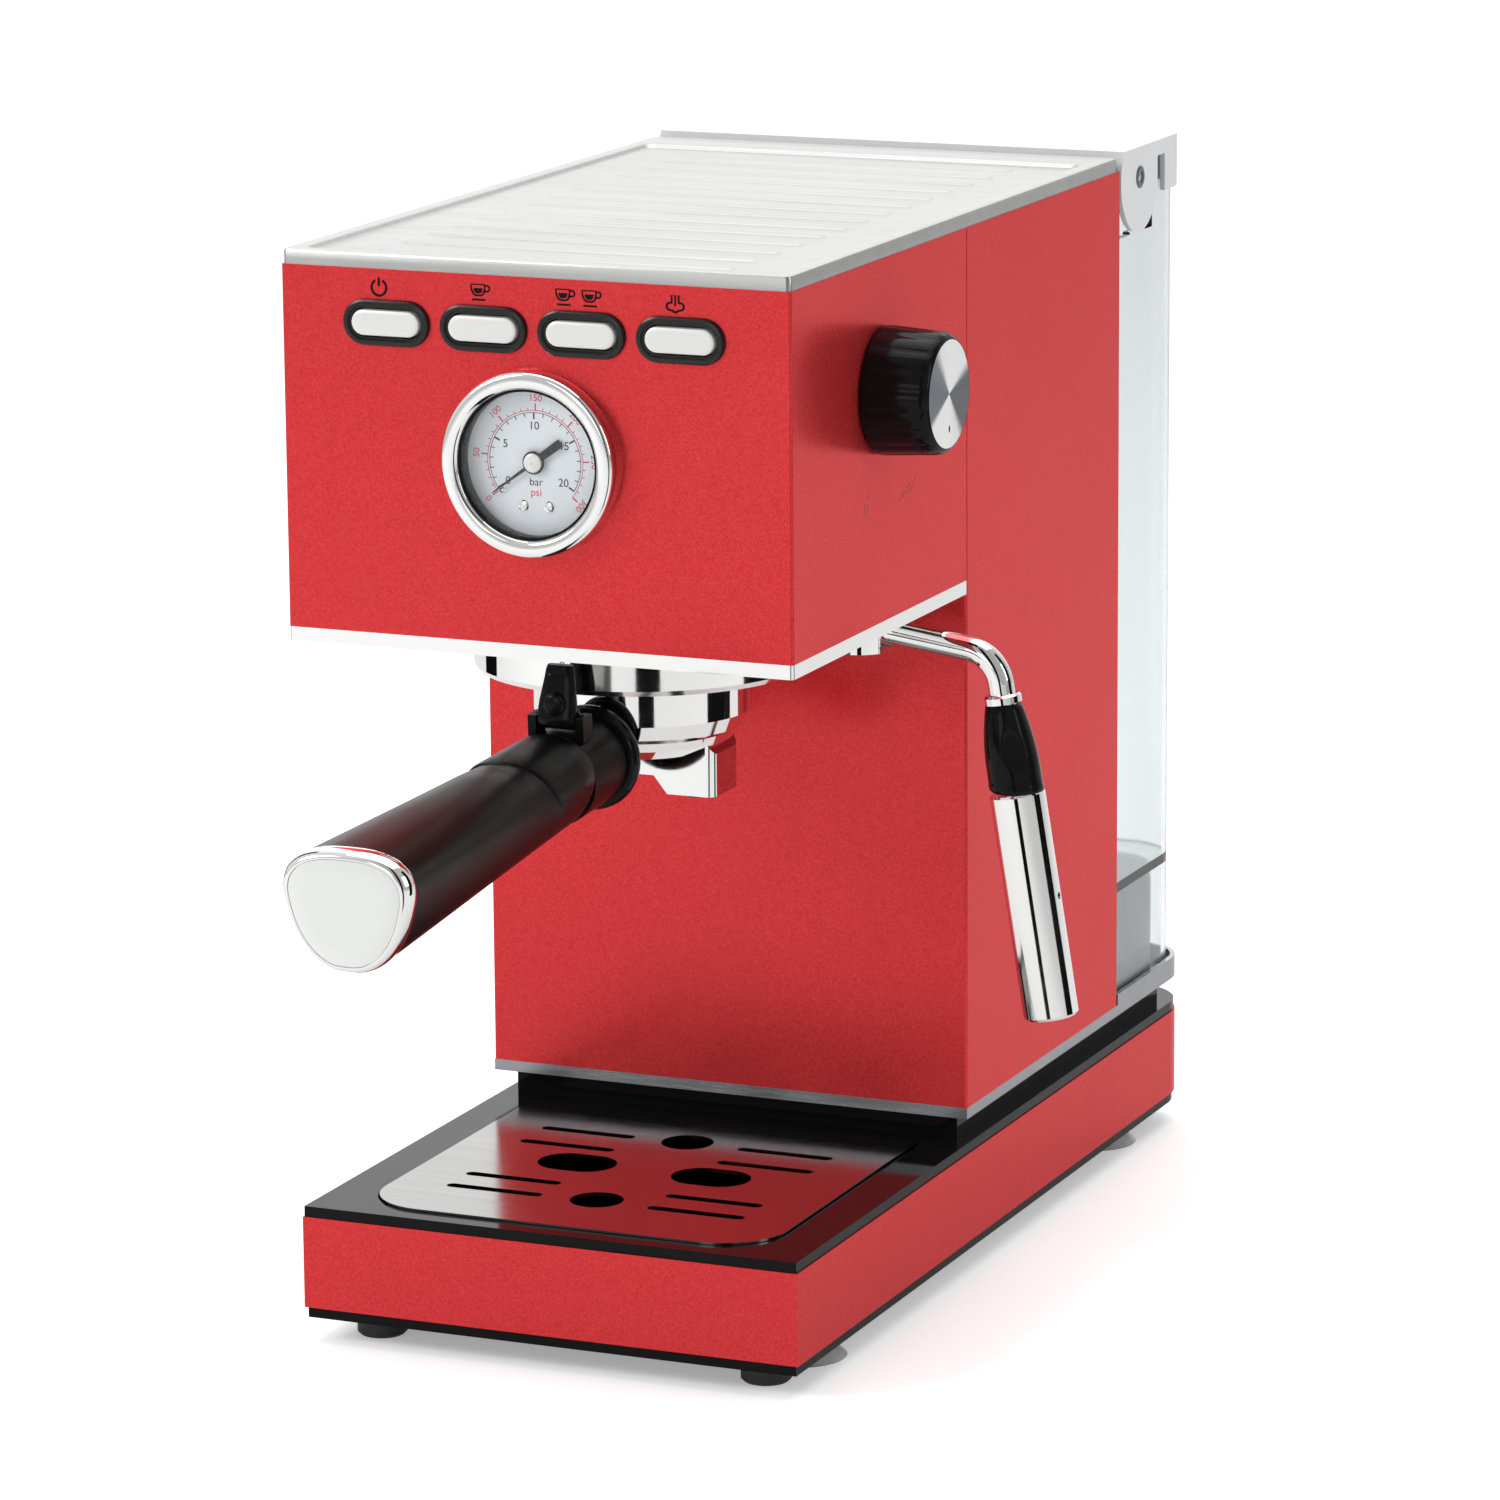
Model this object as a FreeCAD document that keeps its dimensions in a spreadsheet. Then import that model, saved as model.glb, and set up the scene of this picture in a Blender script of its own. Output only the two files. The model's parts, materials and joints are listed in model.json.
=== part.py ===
import FreeCAD, Part
import math
import os
import re

import Sketcher

# Espresso machine, slim pump type. Millimetres. X to the right, Y to the back, Z up, floor at Z = 0.
# The drawing frame has the middle plane at X = 0 and the head's front at Y = 0;
# frame_x and frame_y carry it to the model's origin below the middle of the whole outline.

V = FreeCAD.Vector

dimensions = {
    "frame_x": -20.4, "frame_y": -100.7,
    # casing
    "body_width": 148, "base_depth": 316, "head_depth": 125, "column_back": 248,
    "foot_height": 7, "plate_thick": 3, "band_height": 26, "deck_thick": 3,
    "plinth_height": 7.5, "trim_thick": 3.2, "column_height": 251.7, "head_height": 99,
    "head_trim_thick": 3.9, "sheet": 1.2, "band_wall": 2, "base_corner": 19, "seam": 0.2,
    "plate_inset": 0.8, "deck_inset": 0.4, "plinth_inset": 5, "plinth_wall": 2,
    "plinth_front": 130, "plinth_back": 298, "trim_back": 315,
    "trim_lip": 3.3, "trim_lip_wall": 1.5, "shell_corner": 0.8, "trim_corner": 1.2,
    "hole_fit": 0.3, "trim_sheet": 1.5,
    # feet
    "foot_radius": 7, "foot_bevel": 0.8, "foot_x": 58, "foot_front": 16, "foot_back": 298,
    "cup_radius": 13, "cup_skin": 1.2, "cup_lift": 0.2,
    "suction_x": 58, "suction_front": 40, "suction_back": 272,
    # cup shelf on top
    "shelf_height": 4.1, "shelf_gap": 0.3, "shelf_back": 247, "shelf_skin": 1.2,
    "recess_half": 69, "recess_front": 4.5, "recess_back": 230, "recess_depth": 1.2,
    "rib_count": 14, "rib_pitch": 15.7, "rib_first": 14.5, "rib_half": 52, "rib_width": 4,
    "rib_height": 0.8,
    # buttons
    "button_pitch": 28.5, "button_rise": 35, "button_long": 20, "button_tall": 7,
    "button_gap": 0.35, "bezel_long": 25.5, "bezel_tall": 11.2, "bezel_out": 1.4,
    "sleeve_wall": 0.9, "sleeve_deep": 5, "button_out": 1.6, "button_deep": 10,
    "switch_face": 12.2, "switch_half": 4, "carrier_half": 62, "carrier_tall": 12, "post_thick": 2.5,
    "board_front": 18, "board_thick": 1.6,
    # pressure gauge
    "gauge_z": 252, "gauge_bezel": 25, "gauge_out": 6, "gauge_window": 20, "gauge_case": 22,
    "gauge_bore": 20.8, "gauge_back": 26, "glass_thick": 1.2, "dial_thick": 0.8,
    "needle_thick": 0.7, "needle_length": 16.5, "needle_tail": 9, "needle_hub": 2,
    # steam knob
    "knob_y": 62.5, "knob_z": 266, "knob_radius": 17.5, "knob_front": 16, "knob_length": 19,
    "knob_gap": 0.5, "disc_radius": 14.7, "disc_thick": 1, "spindle_radius": 3.5,
    "spindle_fit": 0.06, "valve_radius": 10, "valve_length": 27, "spindle_inside": 22,
    # group head and portafilter
    "group_y": 68.5, "collar_radius": 46.5, "collar_height": 14, "collar_bore": 35.2,
    "ledge_bore": 31.2, "ledge_thick": 1.7, "lug_reach": 34.2, "lug_width": 14, "lug_thick": 1.8,
    "lug_turn": 45, "lug_gap": 0.4, "group_radius": 34.8, "flange_radius": 44, "flange_thick": 5,
    "boiler_radius": 38, "boiler_height": 36, "group_neck": 21, "gasket_thick": 3.5, "group_drop": 8.5,
    "gasket_bore": 26.5, "screen_radius": 26, "screen_thick": 1.7, "seal_gap": 0.6,
    "cup_outer": 30.2, "cup_wall": 2.2, "cup_floor": 3, "dome_radius": 26, "cup_bottom": 161,
    "cup_bend": 172.5, "basket_rim": 1, "basket_sheet": 0.6, "basket_depth": 15, "basket_gap": 0.5,
    "spout_half": 25, "spout_y": 9, "spout_bottom": 150, "spout_leg": 14, "spout_arch": 5,
    "nozzle_x": 16.4, "nozzle_radius": 3.5, "nozzle_drop": 1.6, "nozzle_seat": 3,
    # handle
    "handle_start": 38.6, "handle_z": 165.5, "handle_fall": 3.55, "neck_radius": 13.6,
    "neck_length": 36, "stem_radius": 6, "grip_start": 30, "grip_end": 142, "cap_length": 14.5,
    "grip_width": 28, "end_width": 41, "end_height": 33.5, "end_narrow": 20,
    "neck_height": 26, "neck_narrow": 14, "badge_thick": 0.8, "badge_inset": 2.6,
    "clip_width": 11, "clip_thick": 2.6, "clip_back": 24, "clip_pin": 1.5, "pin_rise": 2.2,
    "clip_eye": 2.9, "clip_fit": 0.05, "clip_lift": 17, "ear_wall": 2.4, "ear_rise": 3.4,
    "ring_gap": 2.5,
    # steam wand
    "ball_x": 50, "ball_y": 105, "ball_z": 192, "ball_radius": 4.8, "ball_gap": 0.4,
    "socket_radius": 9, "socket_stud": 2.3, "socket_top_gap": 0.3, "socket_below": 7, "wand_fall": 8,
    "wand_radius": 3.65, "wand_lean": 9.2, "wand_first": 41, "wand_bend": 11, "wand_bore": 1.5,
    "grip_top_at": 13.5, "wand_nut": 2.5, "wand_nut_radius": 5.2, "grip_long": 25,
    "grip_thin": 5.2, "grip_thick": 7.6, "sleeve_radius": 7.75, "sleeve_length": 64,
    "sleeve_skin": 1.2, "sleeve_fit": 0.05, "pipe_tail": 22, "sleeve_collar": 10, "slot_half": 4.2,
    # drip tray
    "grid_half": 60.5, "grid_front": 7, "grid_back": 122, "grid_corner": 18, "grid_thick": 1.2,
    "grid_rise": 0.7, "tray_gap": 0.5, "tray_wall": 1.8, "tray_floor": 2, "tray_lift": 0.3,
    "grid_seat": 0.2, "slot_length": 29, "slot_wide": 3.6, "slot_x": 30.5, "oval_x": 20.5,
    "oval_long": 23, "oval_wide": 17, "oval_y": 65.5, "hole_radius": 7.5, "float_y": 33.5,
    "drain_y": 96, "float_radius": 6.3, "float_top": 34, "post_radius": 2.4, "post_height": 16,
    # water tank
    "tank_half": 72.2, "tank_front": 249.2, "tank_back": 311.5, "tank_corner": 17.5,
    "tank_wall": 2.2, "tank_low": 51.2, "tank_floor": 83, "floor_thick": 3, "tank_rim": 301.4,
    "front_rim": 280.8, "lid_skin": 4.6, "lid_gap": 0.6, "lid_half": 74, "lid_wall": 1.5,
    "lid_back": 313.4, "lid_reach": 16.2, "skirt_front": 287, "skirt_drop": 10.5,
    "pin_y": 265.4, "pin_drop": 3.8, "pin_radius": 2, "pin_fit": 0.05, "lug_radius": 3.7,
    "dock_half": 60, "dock_front": 253, "dock_back": 283, "dock_gap": 1, "stub_radius": 5,
    "stub_drop": 10, "stub_gap": 0.6,
    # inside
    "chassis_y": 150, "chassis_half": 60, "chassis_top": 290, "pump_half": 18, "pump_y": 160,
    "pump_low": 110, "pump_high": 175, "pump_nose": 9, "solenoid_x": 34, "solenoid_low": 212,
    "solenoid_size": 24, "solenoid_height": 38, "hose_radius": 3, "hose_z": 66, "hose_stub": 14,
    "hose_rise": 18, "mount_height": 8, "gland_x": 45, "gland_radius": 7, "gland_bore": 3.6,
    "gland_flange": 10.3, "gland_out": 4, "gland_fit": 0.1,
}

doc = FreeCAD.newDocument("espresso_machine")
sheet = doc.addObject("Spreadsheet::Sheet", "Sizes")
for row, (name, size) in enumerate(dimensions.items(), start=1):
    sheet.set("A%d" % row, name)
    sheet.set("B%d" % row, str(size))
    sheet.setAlias("B%d" % row, name)
doc.recompute()

# heights above the floor, each stacked on the one before
band_low = "(foot_height + plate_thick)"
deck_low = "(foot_height + plate_thick + band_height)"
deck_top = "(foot_height + plate_thick + band_height + deck_thick)"
trim_low = "(foot_height + plate_thick + band_height + deck_thick + plinth_height)"
column_low = "(foot_height + plate_thick + band_height + deck_thick + plinth_height + trim_thick)"
column_top = "(%s + column_height)" % column_low
head_low = "(%s - head_height)" % column_top
head_under = "(%s - head_trim_thick)" % head_low
half = "(body_width/2)"
button_level = "(gauge_z + button_rise)"
collar_low = "(%s - collar_height)" % head_under
gasket_low = "(%s - group_drop)" % head_under
cup_top = "(%s - seal_gap - basket_rim)" % gasket_low
lug_low = "(%s + ledge_thick + lug_gap)" % collar_low
tray_top = "(%s + grid_rise - grid_thick - grid_seat)" % deck_top
lid_low = "(tank_rim + lid_gap)"
pin_z = "(tank_rim - pin_drop)"

nodes = {}


def formula(text):
    """The text with each driving dimension written as a reference to the sheet."""
    named = lambda word: "Sizes." + word[0] if word[0] in dimensions else word[0]
    return re.sub(r"[a-z][a-z_]+", named, text)


def number(text):
    """The present value of a formula."""
    return float(sheet.evalExpression(formula(text)))


def bind(item, path, text):
    item.setExpression(path, formula(text))


def place(item, x="0", y="0", z="0"):
    bind(item, ".Placement.Base.x", "frame_x + %s" % x)
    bind(item, ".Placement.Base.y", "frame_y + %s" % y)
    bind(item, ".Placement.Base.z", z)


def body(label, x="0", y="0", z="0", turn_axis=None, turn="0"):
    """A new sub-part, placed in the machine, and registered under its label."""
    item = doc.addObject("PartDesign::Body", label)
    item.Label = label
    if turn_axis:
        item.Placement.Rotation = FreeCAD.Rotation(turn_axis, number(turn))
        bind(item, ".Placement.Rotation.Angle", turn)
    place(item, x, y, z)
    nodes[label] = item
    return item


def sketch(item, plane, offset="0", across="0", up="0", turn="0"):
    """A sketch on one of the body's own planes, offset along that plane's axis."""
    drawn = item.newObject("Sketcher::SketchObject", item.Label + "_sketch")
    support = next(f for f in item.Origin.OriginFeatures if f.Role == plane + "_Plane")
    drawn.AttachmentSupport = [(support, "")]
    drawn.MapMode = "FlatFace"
    if turn != "0":
        drawn.AttachmentOffset = FreeCAD.Placement(V(0, 0, 0), FreeCAD.Rotation(V(0, 0, 1), 1))
        bind(drawn, ".AttachmentOffset.Rotation.Angle", turn)
    bind(drawn, ".AttachmentOffset.Base.x", across)
    bind(drawn, ".AttachmentOffset.Base.y", up)
    bind(drawn, ".AttachmentOffset.Base.z", "-(%s)" % offset if plane == "XZ" else offset)
    return drawn


def pin(drawn, geometry, vertex, across, up):
    """Hold one vertex of the sketch at a place given by two formulas."""
    for kind, text in (("DistanceX", across), ("DistanceY", up)):
        index = drawn.addConstraint(
            Sketcher.Constraint(kind, -1, 1, geometry, vertex, number(text)))
        bind(drawn, "Constraints[%d]" % index, text)


def outline(points):
    """A closed outline of straight lines through the points."""
    def draw(drawn):
        first = drawn.GeometryCount
        ends = [V(number(a), number(b), 0) for a, b in points]
        for here, there in zip(ends, ends[1:] + ends[:1]):
            drawn.addGeometry(Part.LineSegment(here, there))
        for i, (across, up) in enumerate(points):
            after = first + (i + 1) % len(points)
            drawn.addConstraint(Sketcher.Constraint("Coincident", first + i, 2, after, 1))
            pin(drawn, first + i, 1, across, up)
    return draw


def rect(left, right, low, high):
    return outline([(left, low), (right, low), (right, high), (left, high)])


def disc(across, up, radius):
    def draw(drawn):
        index = drawn.addGeometry(
            Part.Circle(V(number(across), number(up), 0), V(0, 0, 1), number(radius)))
        pin(drawn, index, 3, across, up)
        held = drawn.addConstraint(Sketcher.Constraint("Radius", index, number(radius)))
        bind(drawn, "Constraints[%d]" % held, radius)
    return draw


def stadium(across, up, length, width):
    """A slot with round ends, lying along the sketch's first direction."""
    def draw(drawn):
        first = drawn.GeometryCount
        middle = V(number(across), number(up), 0)
        radius = number("(%s)/2" % width)
        reach = number("((%s) - (%s))/2" % (length, width))
        left, right = middle - V(reach, 0, 0), middle + V(reach, 0, 0)
        up_by = V(0, radius, 0)
        arc = lambda c, a, b: Part.ArcOfCircle(Part.Circle(c, V(0, 0, 1), radius), a, b)
        drawn.addGeometry(arc(right, -math.pi/2, math.pi/2))
        drawn.addGeometry(Part.LineSegment(right + up_by, left + up_by))
        drawn.addGeometry(arc(left, math.pi/2, 3*math.pi/2))
        drawn.addGeometry(Part.LineSegment(left - up_by, right - up_by))
        for i in range(4):
            after = first + (i + 1) % 4
            drawn.addConstraint(Sketcher.Constraint("Coincident", first + i, 2, after, 1))
        for index, sign in ((first, "+"), (first + 2, "-")):
            pin(drawn, index, 3, "(%s) %s ((%s) - (%s))/2" % (across, sign, length, width), up)
            held = drawn.addConstraint(Sketcher.Constraint("Radius", index, radius))
            bind(drawn, "Constraints[%d]" % held, "(%s)/2" % width)
            for vertex in (1, 2):
                drawn.addConstraint(Sketcher.Constraint("Vertical", index, vertex, index, 3))
    return draw


def panel(left, right, low, high, front="0", back="0"):
    """A rectangle whose two lower and two upper corners may be rounded."""
    corners = [(right, low, front, "-", "+"), (right, high, back, "-", "-"),
               (left, high, back, "+", "-"), (left, low, front, "+", "+")]

    def draw(drawn):
        arcs, enter, leave = [], [], []
        for turn, (x, y, radius, inward, upward) in enumerate(corners):
            if radius == "0":
                arcs.append(None)
                enter.append(V(number(x), number(y), 0))
                leave.append(enter[-1])
                continue
            across = "(%s) %s (%s)" % (x, inward, radius)
            up = "(%s) %s (%s)" % (y, upward, radius)
            begin = (turn - 1)*math.pi/2
            curve = Part.ArcOfCircle(
                Part.Circle(V(number(across), number(up), 0), V(0, 0, 1), number(radius)),
                begin, begin + math.pi/2)
            index = drawn.addGeometry(curve)
            pin(drawn, index, 3, across, up)
            held = drawn.addConstraint(Sketcher.Constraint("Radius", index, number(radius)))
            bind(drawn, "Constraints[%d]" % held, radius)
            lines = ("Vertical", "Horizontal") if turn % 2 == 0 else ("Horizontal", "Vertical")
            for vertex, kind in enumerate(lines, start=1):
                drawn.addConstraint(Sketcher.Constraint(kind, index, vertex, index, 3))
            arcs.append(index)
            enter.append(curve.StartPoint)
            leave.append(curve.EndPoint)
        sides = [drawn.addGeometry(Part.LineSegment(leave[i], enter[(i + 1) % 4]))
                 for i in range(4)]
        for i, side in enumerate(sides):
            after = (i + 1) % 4
            if arcs[i] is None:
                pin(drawn, side, 1, corners[i][0], corners[i][1])
            else:
                drawn.addConstraint(Sketcher.Constraint("Coincident", side, 1, arcs[i], 2))
            if arcs[after] is None:
                drawn.addConstraint(Sketcher.Constraint("Coincident", side, 2, sides[after], 1))
            else:
                drawn.addConstraint(Sketcher.Constraint("Coincident", side, 2, arcs[after], 1))
    return draw


def fill(drawn, shapes):
    for draw in shapes:
        draw(drawn)
    return drawn


def feature(item, kind, drawn, length=None):
    made = item.newObject("PartDesign::" + kind, item.Label + "_" + kind.lower())
    made.Profile = drawn
    if length:
        bind(made, "Length", length)
    doc.recompute()
    return made


def pad(item, plane, low, high, *shapes, across="0", up="0", turn="0"):
    """Add the shapes drawn on a plane, between two heights along that plane's axis."""
    start = high if plane == "XZ" else low
    drawn = fill(sketch(item, plane, start, across, up, turn), shapes)
    return feature(item, "Pad", drawn, "(%s) - (%s)" % (high, low))


def pocket(item, plane, low, high, *shapes, across="0", up="0", turn="0"):
    """Take the shapes drawn on a plane away, between two heights along that plane's axis."""
    start = low if plane == "XZ" else high
    before = item.Shape.Volume
    drawn = fill(sketch(item, plane, start, across, up, turn), shapes)
    made = feature(item, "Pocket", drawn, "(%s) - (%s)" % (high, low))
    if item.Shape.Volume > before - 1e-6:
        raise ValueError("a pocket of %s cut nothing" % item.Label)
    return made


def spin(item, axis, points, across="0", along="0", cut=False):
    """Turn an outline about an axis: points are (radius, z), (y, radius) or (x, radius)."""
    plane, line = {"Z": ("XZ", "V_Axis"), "Y": ("YZ", "H_Axis"), "X": ("XZ", "H_Axis")}[axis]
    if axis == "Z":
        drawn = sketch(item, plane, along, across=across)
    elif axis == "Y":
        drawn = sketch(item, plane, across, up=along)
    else:
        drawn = sketch(item, plane, across, up=along)
    fill(drawn, [outline(points)])
    made = item.newObject("PartDesign::" + ("Groove" if cut else "Revolution"), "turned")
    made.Profile = drawn
    made.ReferenceAxis = (drawn, [line])
    made.Angle = 360
    doc.recompute()
    return made


def edges_at(item, axis, spots):
    """Names of straight edges along an axis that pass through the given spots."""
    first, second = {"X": ("y", "z"), "Y": ("x", "z"), "Z": ("x", "y")}[axis]
    along = {"X": V(1, 0, 0), "Y": V(0, 1, 0), "Z": V(0, 0, 1)}[axis]
    spots = [(number(a), number(b)) for a, b in spots]
    names = []
    shape = item.Tip.Shape
    for i, edge in enumerate(shape.Edges, start=1):
        if not isinstance(edge.Curve, Part.Line) or abs(edge.Curve.Direction * along) < 0.99:
            continue
        middle = edge.CenterOfMass
        where = (getattr(middle, first), getattr(middle, second))
        if any(math.dist(where, spot) < 0.05 for spot in spots):
            names.append("Edge%d" % i)
    return names


def soften(item, kind, size, names):
    """Round or bevel edges of the body."""
    base = item.Tip
    made = item.newObject("PartDesign::" + kind, item.Label + "_" + kind.lower())
    made.Base = (base, names)
    bind(made, "Radius" if kind == "Fillet" else "Size", size)
    doc.recompute()
    return made


def rounded(item, axis, size, spots):
    return soften(item, "Fillet", size, edges_at(item, axis, spots))


def pattern(item, made, direction, count, pitch):
    """Repeat a feature along one of the body's own axes."""
    row = item.newObject("PartDesign::LinearPattern", item.Label + "_row")
    row.Originals = [made]
    axis = next(f for f in item.Origin.OriginFeatures if f.Role == direction + "_Axis")
    row.Direction = (axis, [""])
    bind(row, "Occurrences", count)
    bind(row, "Length", "(%s - 1)*%s" % (count, pitch))
    item.Tip = row
    doc.recompute()
    return row


def ball(item, along, up, radius):
    """Add a ball in the middle plane."""
    round_end = item.newObject("PartDesign::AdditiveSphere", item.Label + "_ball")
    bind(round_end, "Radius", radius)
    bind(round_end, ".AttachmentOffset.Base.y", along)
    bind(round_end, ".AttachmentOffset.Base.z", up)
    floor = next(f for f in item.Origin.OriginFeatures if f.Role == "XY_Plane")
    round_end.AttachmentSupport = [(floor, "")]
    round_end.MapMode = "FlatFace"
    doc.recompute()


def tube(item, first, length, lean, bend, radius, bore):
    """A tube in the body's XZ plane: along +X, then a bend, then down, leaning out by an angle."""
    back = "%s*tan((90 - %s)/2)" % (bend, lean)
    straight = "(%s - %s)" % (first, back)
    spare = "0.02"
    for size, add in ((radius, True), (bore, False)):
        ring = disc("0", "0", size)
        if add:
            pad(item, "YZ", "0", straight, ring)
        else:
            pocket(item, "YZ", "0", straight, ring)
        around = fill(sketch(item, "YZ", straight, up="-" + bend), [disc("0", bend, size)])
        elbow = item.newObject("PartDesign::" + ("Revolution" if add else "Groove"), "elbow")
        elbow.Profile = around
        elbow.ReferenceAxis = (around, ["H_Axis"])
        bind(elbow, "Angle", "90 - " + lean)
        elbow.Reversed = False
        doc.recompute()
        leg = item.newObject("PartDesign::%sCylinder" % ("Additive" if add else "Subtractive"),
                             item.Label + "_leg")
        plane = next(f for f in item.Origin.OriginFeatures if f.Role == "XY_Plane")
        leg.AttachmentSupport = [(plane, "")]
        leg.MapMode = "FlatFace"
        leg.AttachmentOffset = FreeCAD.Placement(V(0, 0, 0), FreeCAD.Rotation(V(0, -1, 0), 1))
        bind(leg, ".AttachmentOffset.Rotation.Angle", lean)
        bind(leg, ".AttachmentOffset.Base.x", "%s + (%s)*sin(%s)" % (first, length, lean))
        bind(leg, ".AttachmentOffset.Base.z", "-(%s)*cos(%s)" % (length, lean))
        bind(leg, "Radius", size)
        bind(leg, "Height", "%s - %s + %s" % (length, back, spare))
        doc.recompute()


# ---------------------------------------------------------------- base

def base_outline(inset="0", front="0"):
    return panel("-%s + %s" % (half, inset), "%s - %s" % (half, inset), front,
                 "base_depth - %s" % inset, back="base_corner - %s" % inset)


def well(gap="0"):
    """The drip tray's outline: the grid's, grown by a gap."""
    side = "(grid_half + %s)" % gap
    return panel("-" + side, side, "grid_front - %s" % gap, "grid_back + %s" % gap,
                 "grid_corner + %s" % gap, "4 + %s" % gap)


def make_base():
    item = body("base_plate")
    pad(item, "XY", "foot_height", band_low, base_outline("plate_inset", "plate_inset"))

    item = body("base_band")
    pad(item, "XY", band_low, deck_low, base_outline())
    pocket(item, "XY", band_low, deck_low, base_outline("band_wall", "band_wall"))
    gland_z = "(%s + band_height/2)" % band_low
    seat = "(gland_radius + gland_fit)"
    pocket(item, "XZ", "base_depth - 3*band_wall", "base_depth + 1",
           rect("gland_x - " + seat, "gland_x + " + seat, band_low, "%s + %s" % (gland_z, seat)))

    item = body("base_deck")
    pad(item, "XY", deck_low, deck_top, base_outline("deck_inset", "deck_inset"))
    pocket(item, "XY", deck_low, deck_top, well("tray_gap"))

    item = body("power_gland")
    spin(item, "Y", [("base_depth - 2*band_wall", "gland_bore"),
                     ("base_depth + gland_out", "gland_bore"),
                     ("base_depth + gland_out", "gland_radius - 1"),
                     ("base_depth + gland_out/3", "gland_flange"),
                     ("base_depth", "gland_flange"),
                     ("base_depth", "gland_radius"),
                     ("base_depth - 2*band_wall", "gland_radius")],
         across="gland_x", along=gland_z)

    item = body("rubber_feet")
    spots = [(x, y) for x in ("-foot_x", "foot_x") for y in ("foot_front", "foot_back")]
    pad(item, "XY", "0", "foot_height", *[disc(x, y, "foot_radius") for x, y in spots])
    doc.recompute()
    names = ["Edge%d" % i for i, edge in enumerate(item.Tip.Shape.Edges, start=1)
             if edge.BoundBox.ZMax < 1e-6]
    soften(item, "Chamfer", "foot_bevel", names)

    item = doc.addObject("Part::Compound", "suction_cups")
    cups = []
    for x in ("-suction_x", "suction_x"):
        for y in ("suction_front", "suction_back"):
            cones = []
            for wide, narrow, high in (("cup_radius", "cup_radius/2.5", "foot_height - cup_lift"),
                                       ("cup_radius - cup_skin", "1", "foot_height/2")):
                cone = doc.addObject("Part::Cone", "suction_cone")
                bind(cone, "Radius1", wide)
                bind(cone, "Radius2", narrow)
                bind(cone, "Height", high)
                bind(cone, ".Placement.Base.x", x)
                bind(cone, ".Placement.Base.y", y)
                bind(cone, ".Placement.Base.z", "cup_lift")
                cones.append(cone)
            bell = doc.addObject("Part::Cut", "suction_bell")
            bell.Base, bell.Tool = cones
            cups.append(bell)
    item.Links = cups
    item.Label = "suction_cups"
    place(item)
    nodes["suction_cups"] = item


# ---------------------------------------------------------------- column and head

def make_column():
    item = body("plinth")
    edge = "(%s - plinth_inset)" % half
    pad(item, "XY", deck_top, trim_low, rect("-" + edge, edge, "plinth_front", "plinth_back"))
    edge_in = "(%s - plinth_wall)" % edge
    pocket(item, "XY", deck_top, trim_low,
           rect("-" + edge_in, edge_in, "plinth_front + plinth_wall",
                "plinth_back - plinth_wall"))

    item = body("column_trim")
    lip_top = "(%s + trim_lip)" % column_low
    pad(item, "XY", trim_low, lip_top,
        panel("-" + half, half, "head_depth", "trim_back", back="base_corner - 1"))
    inner = "(%s - trim_lip_wall)" % half
    pocket(item, "XY", column_low, lip_top,
           rect("-%s - 5" % half, "%s + 5" % half, "head_depth - 5", "tank_front"))
    pocket(item, "XY", column_low, lip_top,
           panel("-" + inner, inner, "tank_front - 5", "trim_back - trim_lip_wall",
                 back="base_corner - 1 - trim_lip_wall"))

    inside = "(%s - sheet)" % half
    item = body("column_shell")
    pad(item, "XY", column_low, column_top, rect("-" + half, half, "head_depth", "column_back"))
    rounded(item, "Z", "shell_corner", [("-" + half, "head_depth"), (half, "head_depth")])
    pocket(item, "XY", column_low, column_top,
           rect("-" + inside, inside, "head_depth + sheet", "column_back + 1"))
    pocket(item, "XZ", "head_depth - 1", "head_depth + sheet + 0.5",
           rect("-" + inside, inside, head_under, "%s + 1" % column_top))

    item = body("rear_panel")
    edge = "(%s - sheet)" % half
    pad(item, "XZ", "column_back - sheet", "column_back",
        rect("-" + edge, edge, column_low, column_top))
    pocket(item, "XZ", "column_back - sheet - 1", "column_back + 1",
           disc("0", "hose_z", "hose_radius + 1"))

    item = body("head_shell")
    pad(item, "XY", head_low, column_top,
        rect("-" + half, half, "0", "head_depth - seam"))
    rounded(item, "Z", "shell_corner", [("-" + half, "0"), (half, "0")])
    pocket(item, "XY", head_low, column_top,
           rect("-" + inside, inside, "sheet", "head_depth + 1"))
    holes = [stadium("%s*button_pitch" % k, "%s" % button_level,
                     "button_long + 2*button_gap + 2*sleeve_wall",
                     "button_tall + 2*button_gap + 2*sleeve_wall")
             for k in (-1.5, -0.5, 0.5, 1.5)]
    pocket(item, "XZ", "-1", "sheet + 0.5", *holes, disc("0", "gauge_z", "gauge_case + hole_fit"))
    pocket(item, "YZ", "%s - sheet - 1" % half, "%s + 1" % half,
           disc("knob_y", "knob_z", "spindle_radius + 0.5"))

    item = body("head_trim")
    pad(item, "XY", head_under, head_low, rect("-" + half, half, "0", "head_depth - seam"))
    rounded(item, "Z", "trim_corner", [("-" + half, "0"), (half, "0")])
    pocket(item, "XY", "%s + trim_sheet" % head_under, head_low,
           rect("-" + inside, inside, "sheet", "head_depth - sheet"))
    pocket(item, "XY", "%s - 1" % head_under, head_low,
           disc("0", "group_y", "group_radius + 0.4"), disc("ball_x", "ball_y", "socket_stud + 0.2"))


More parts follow.
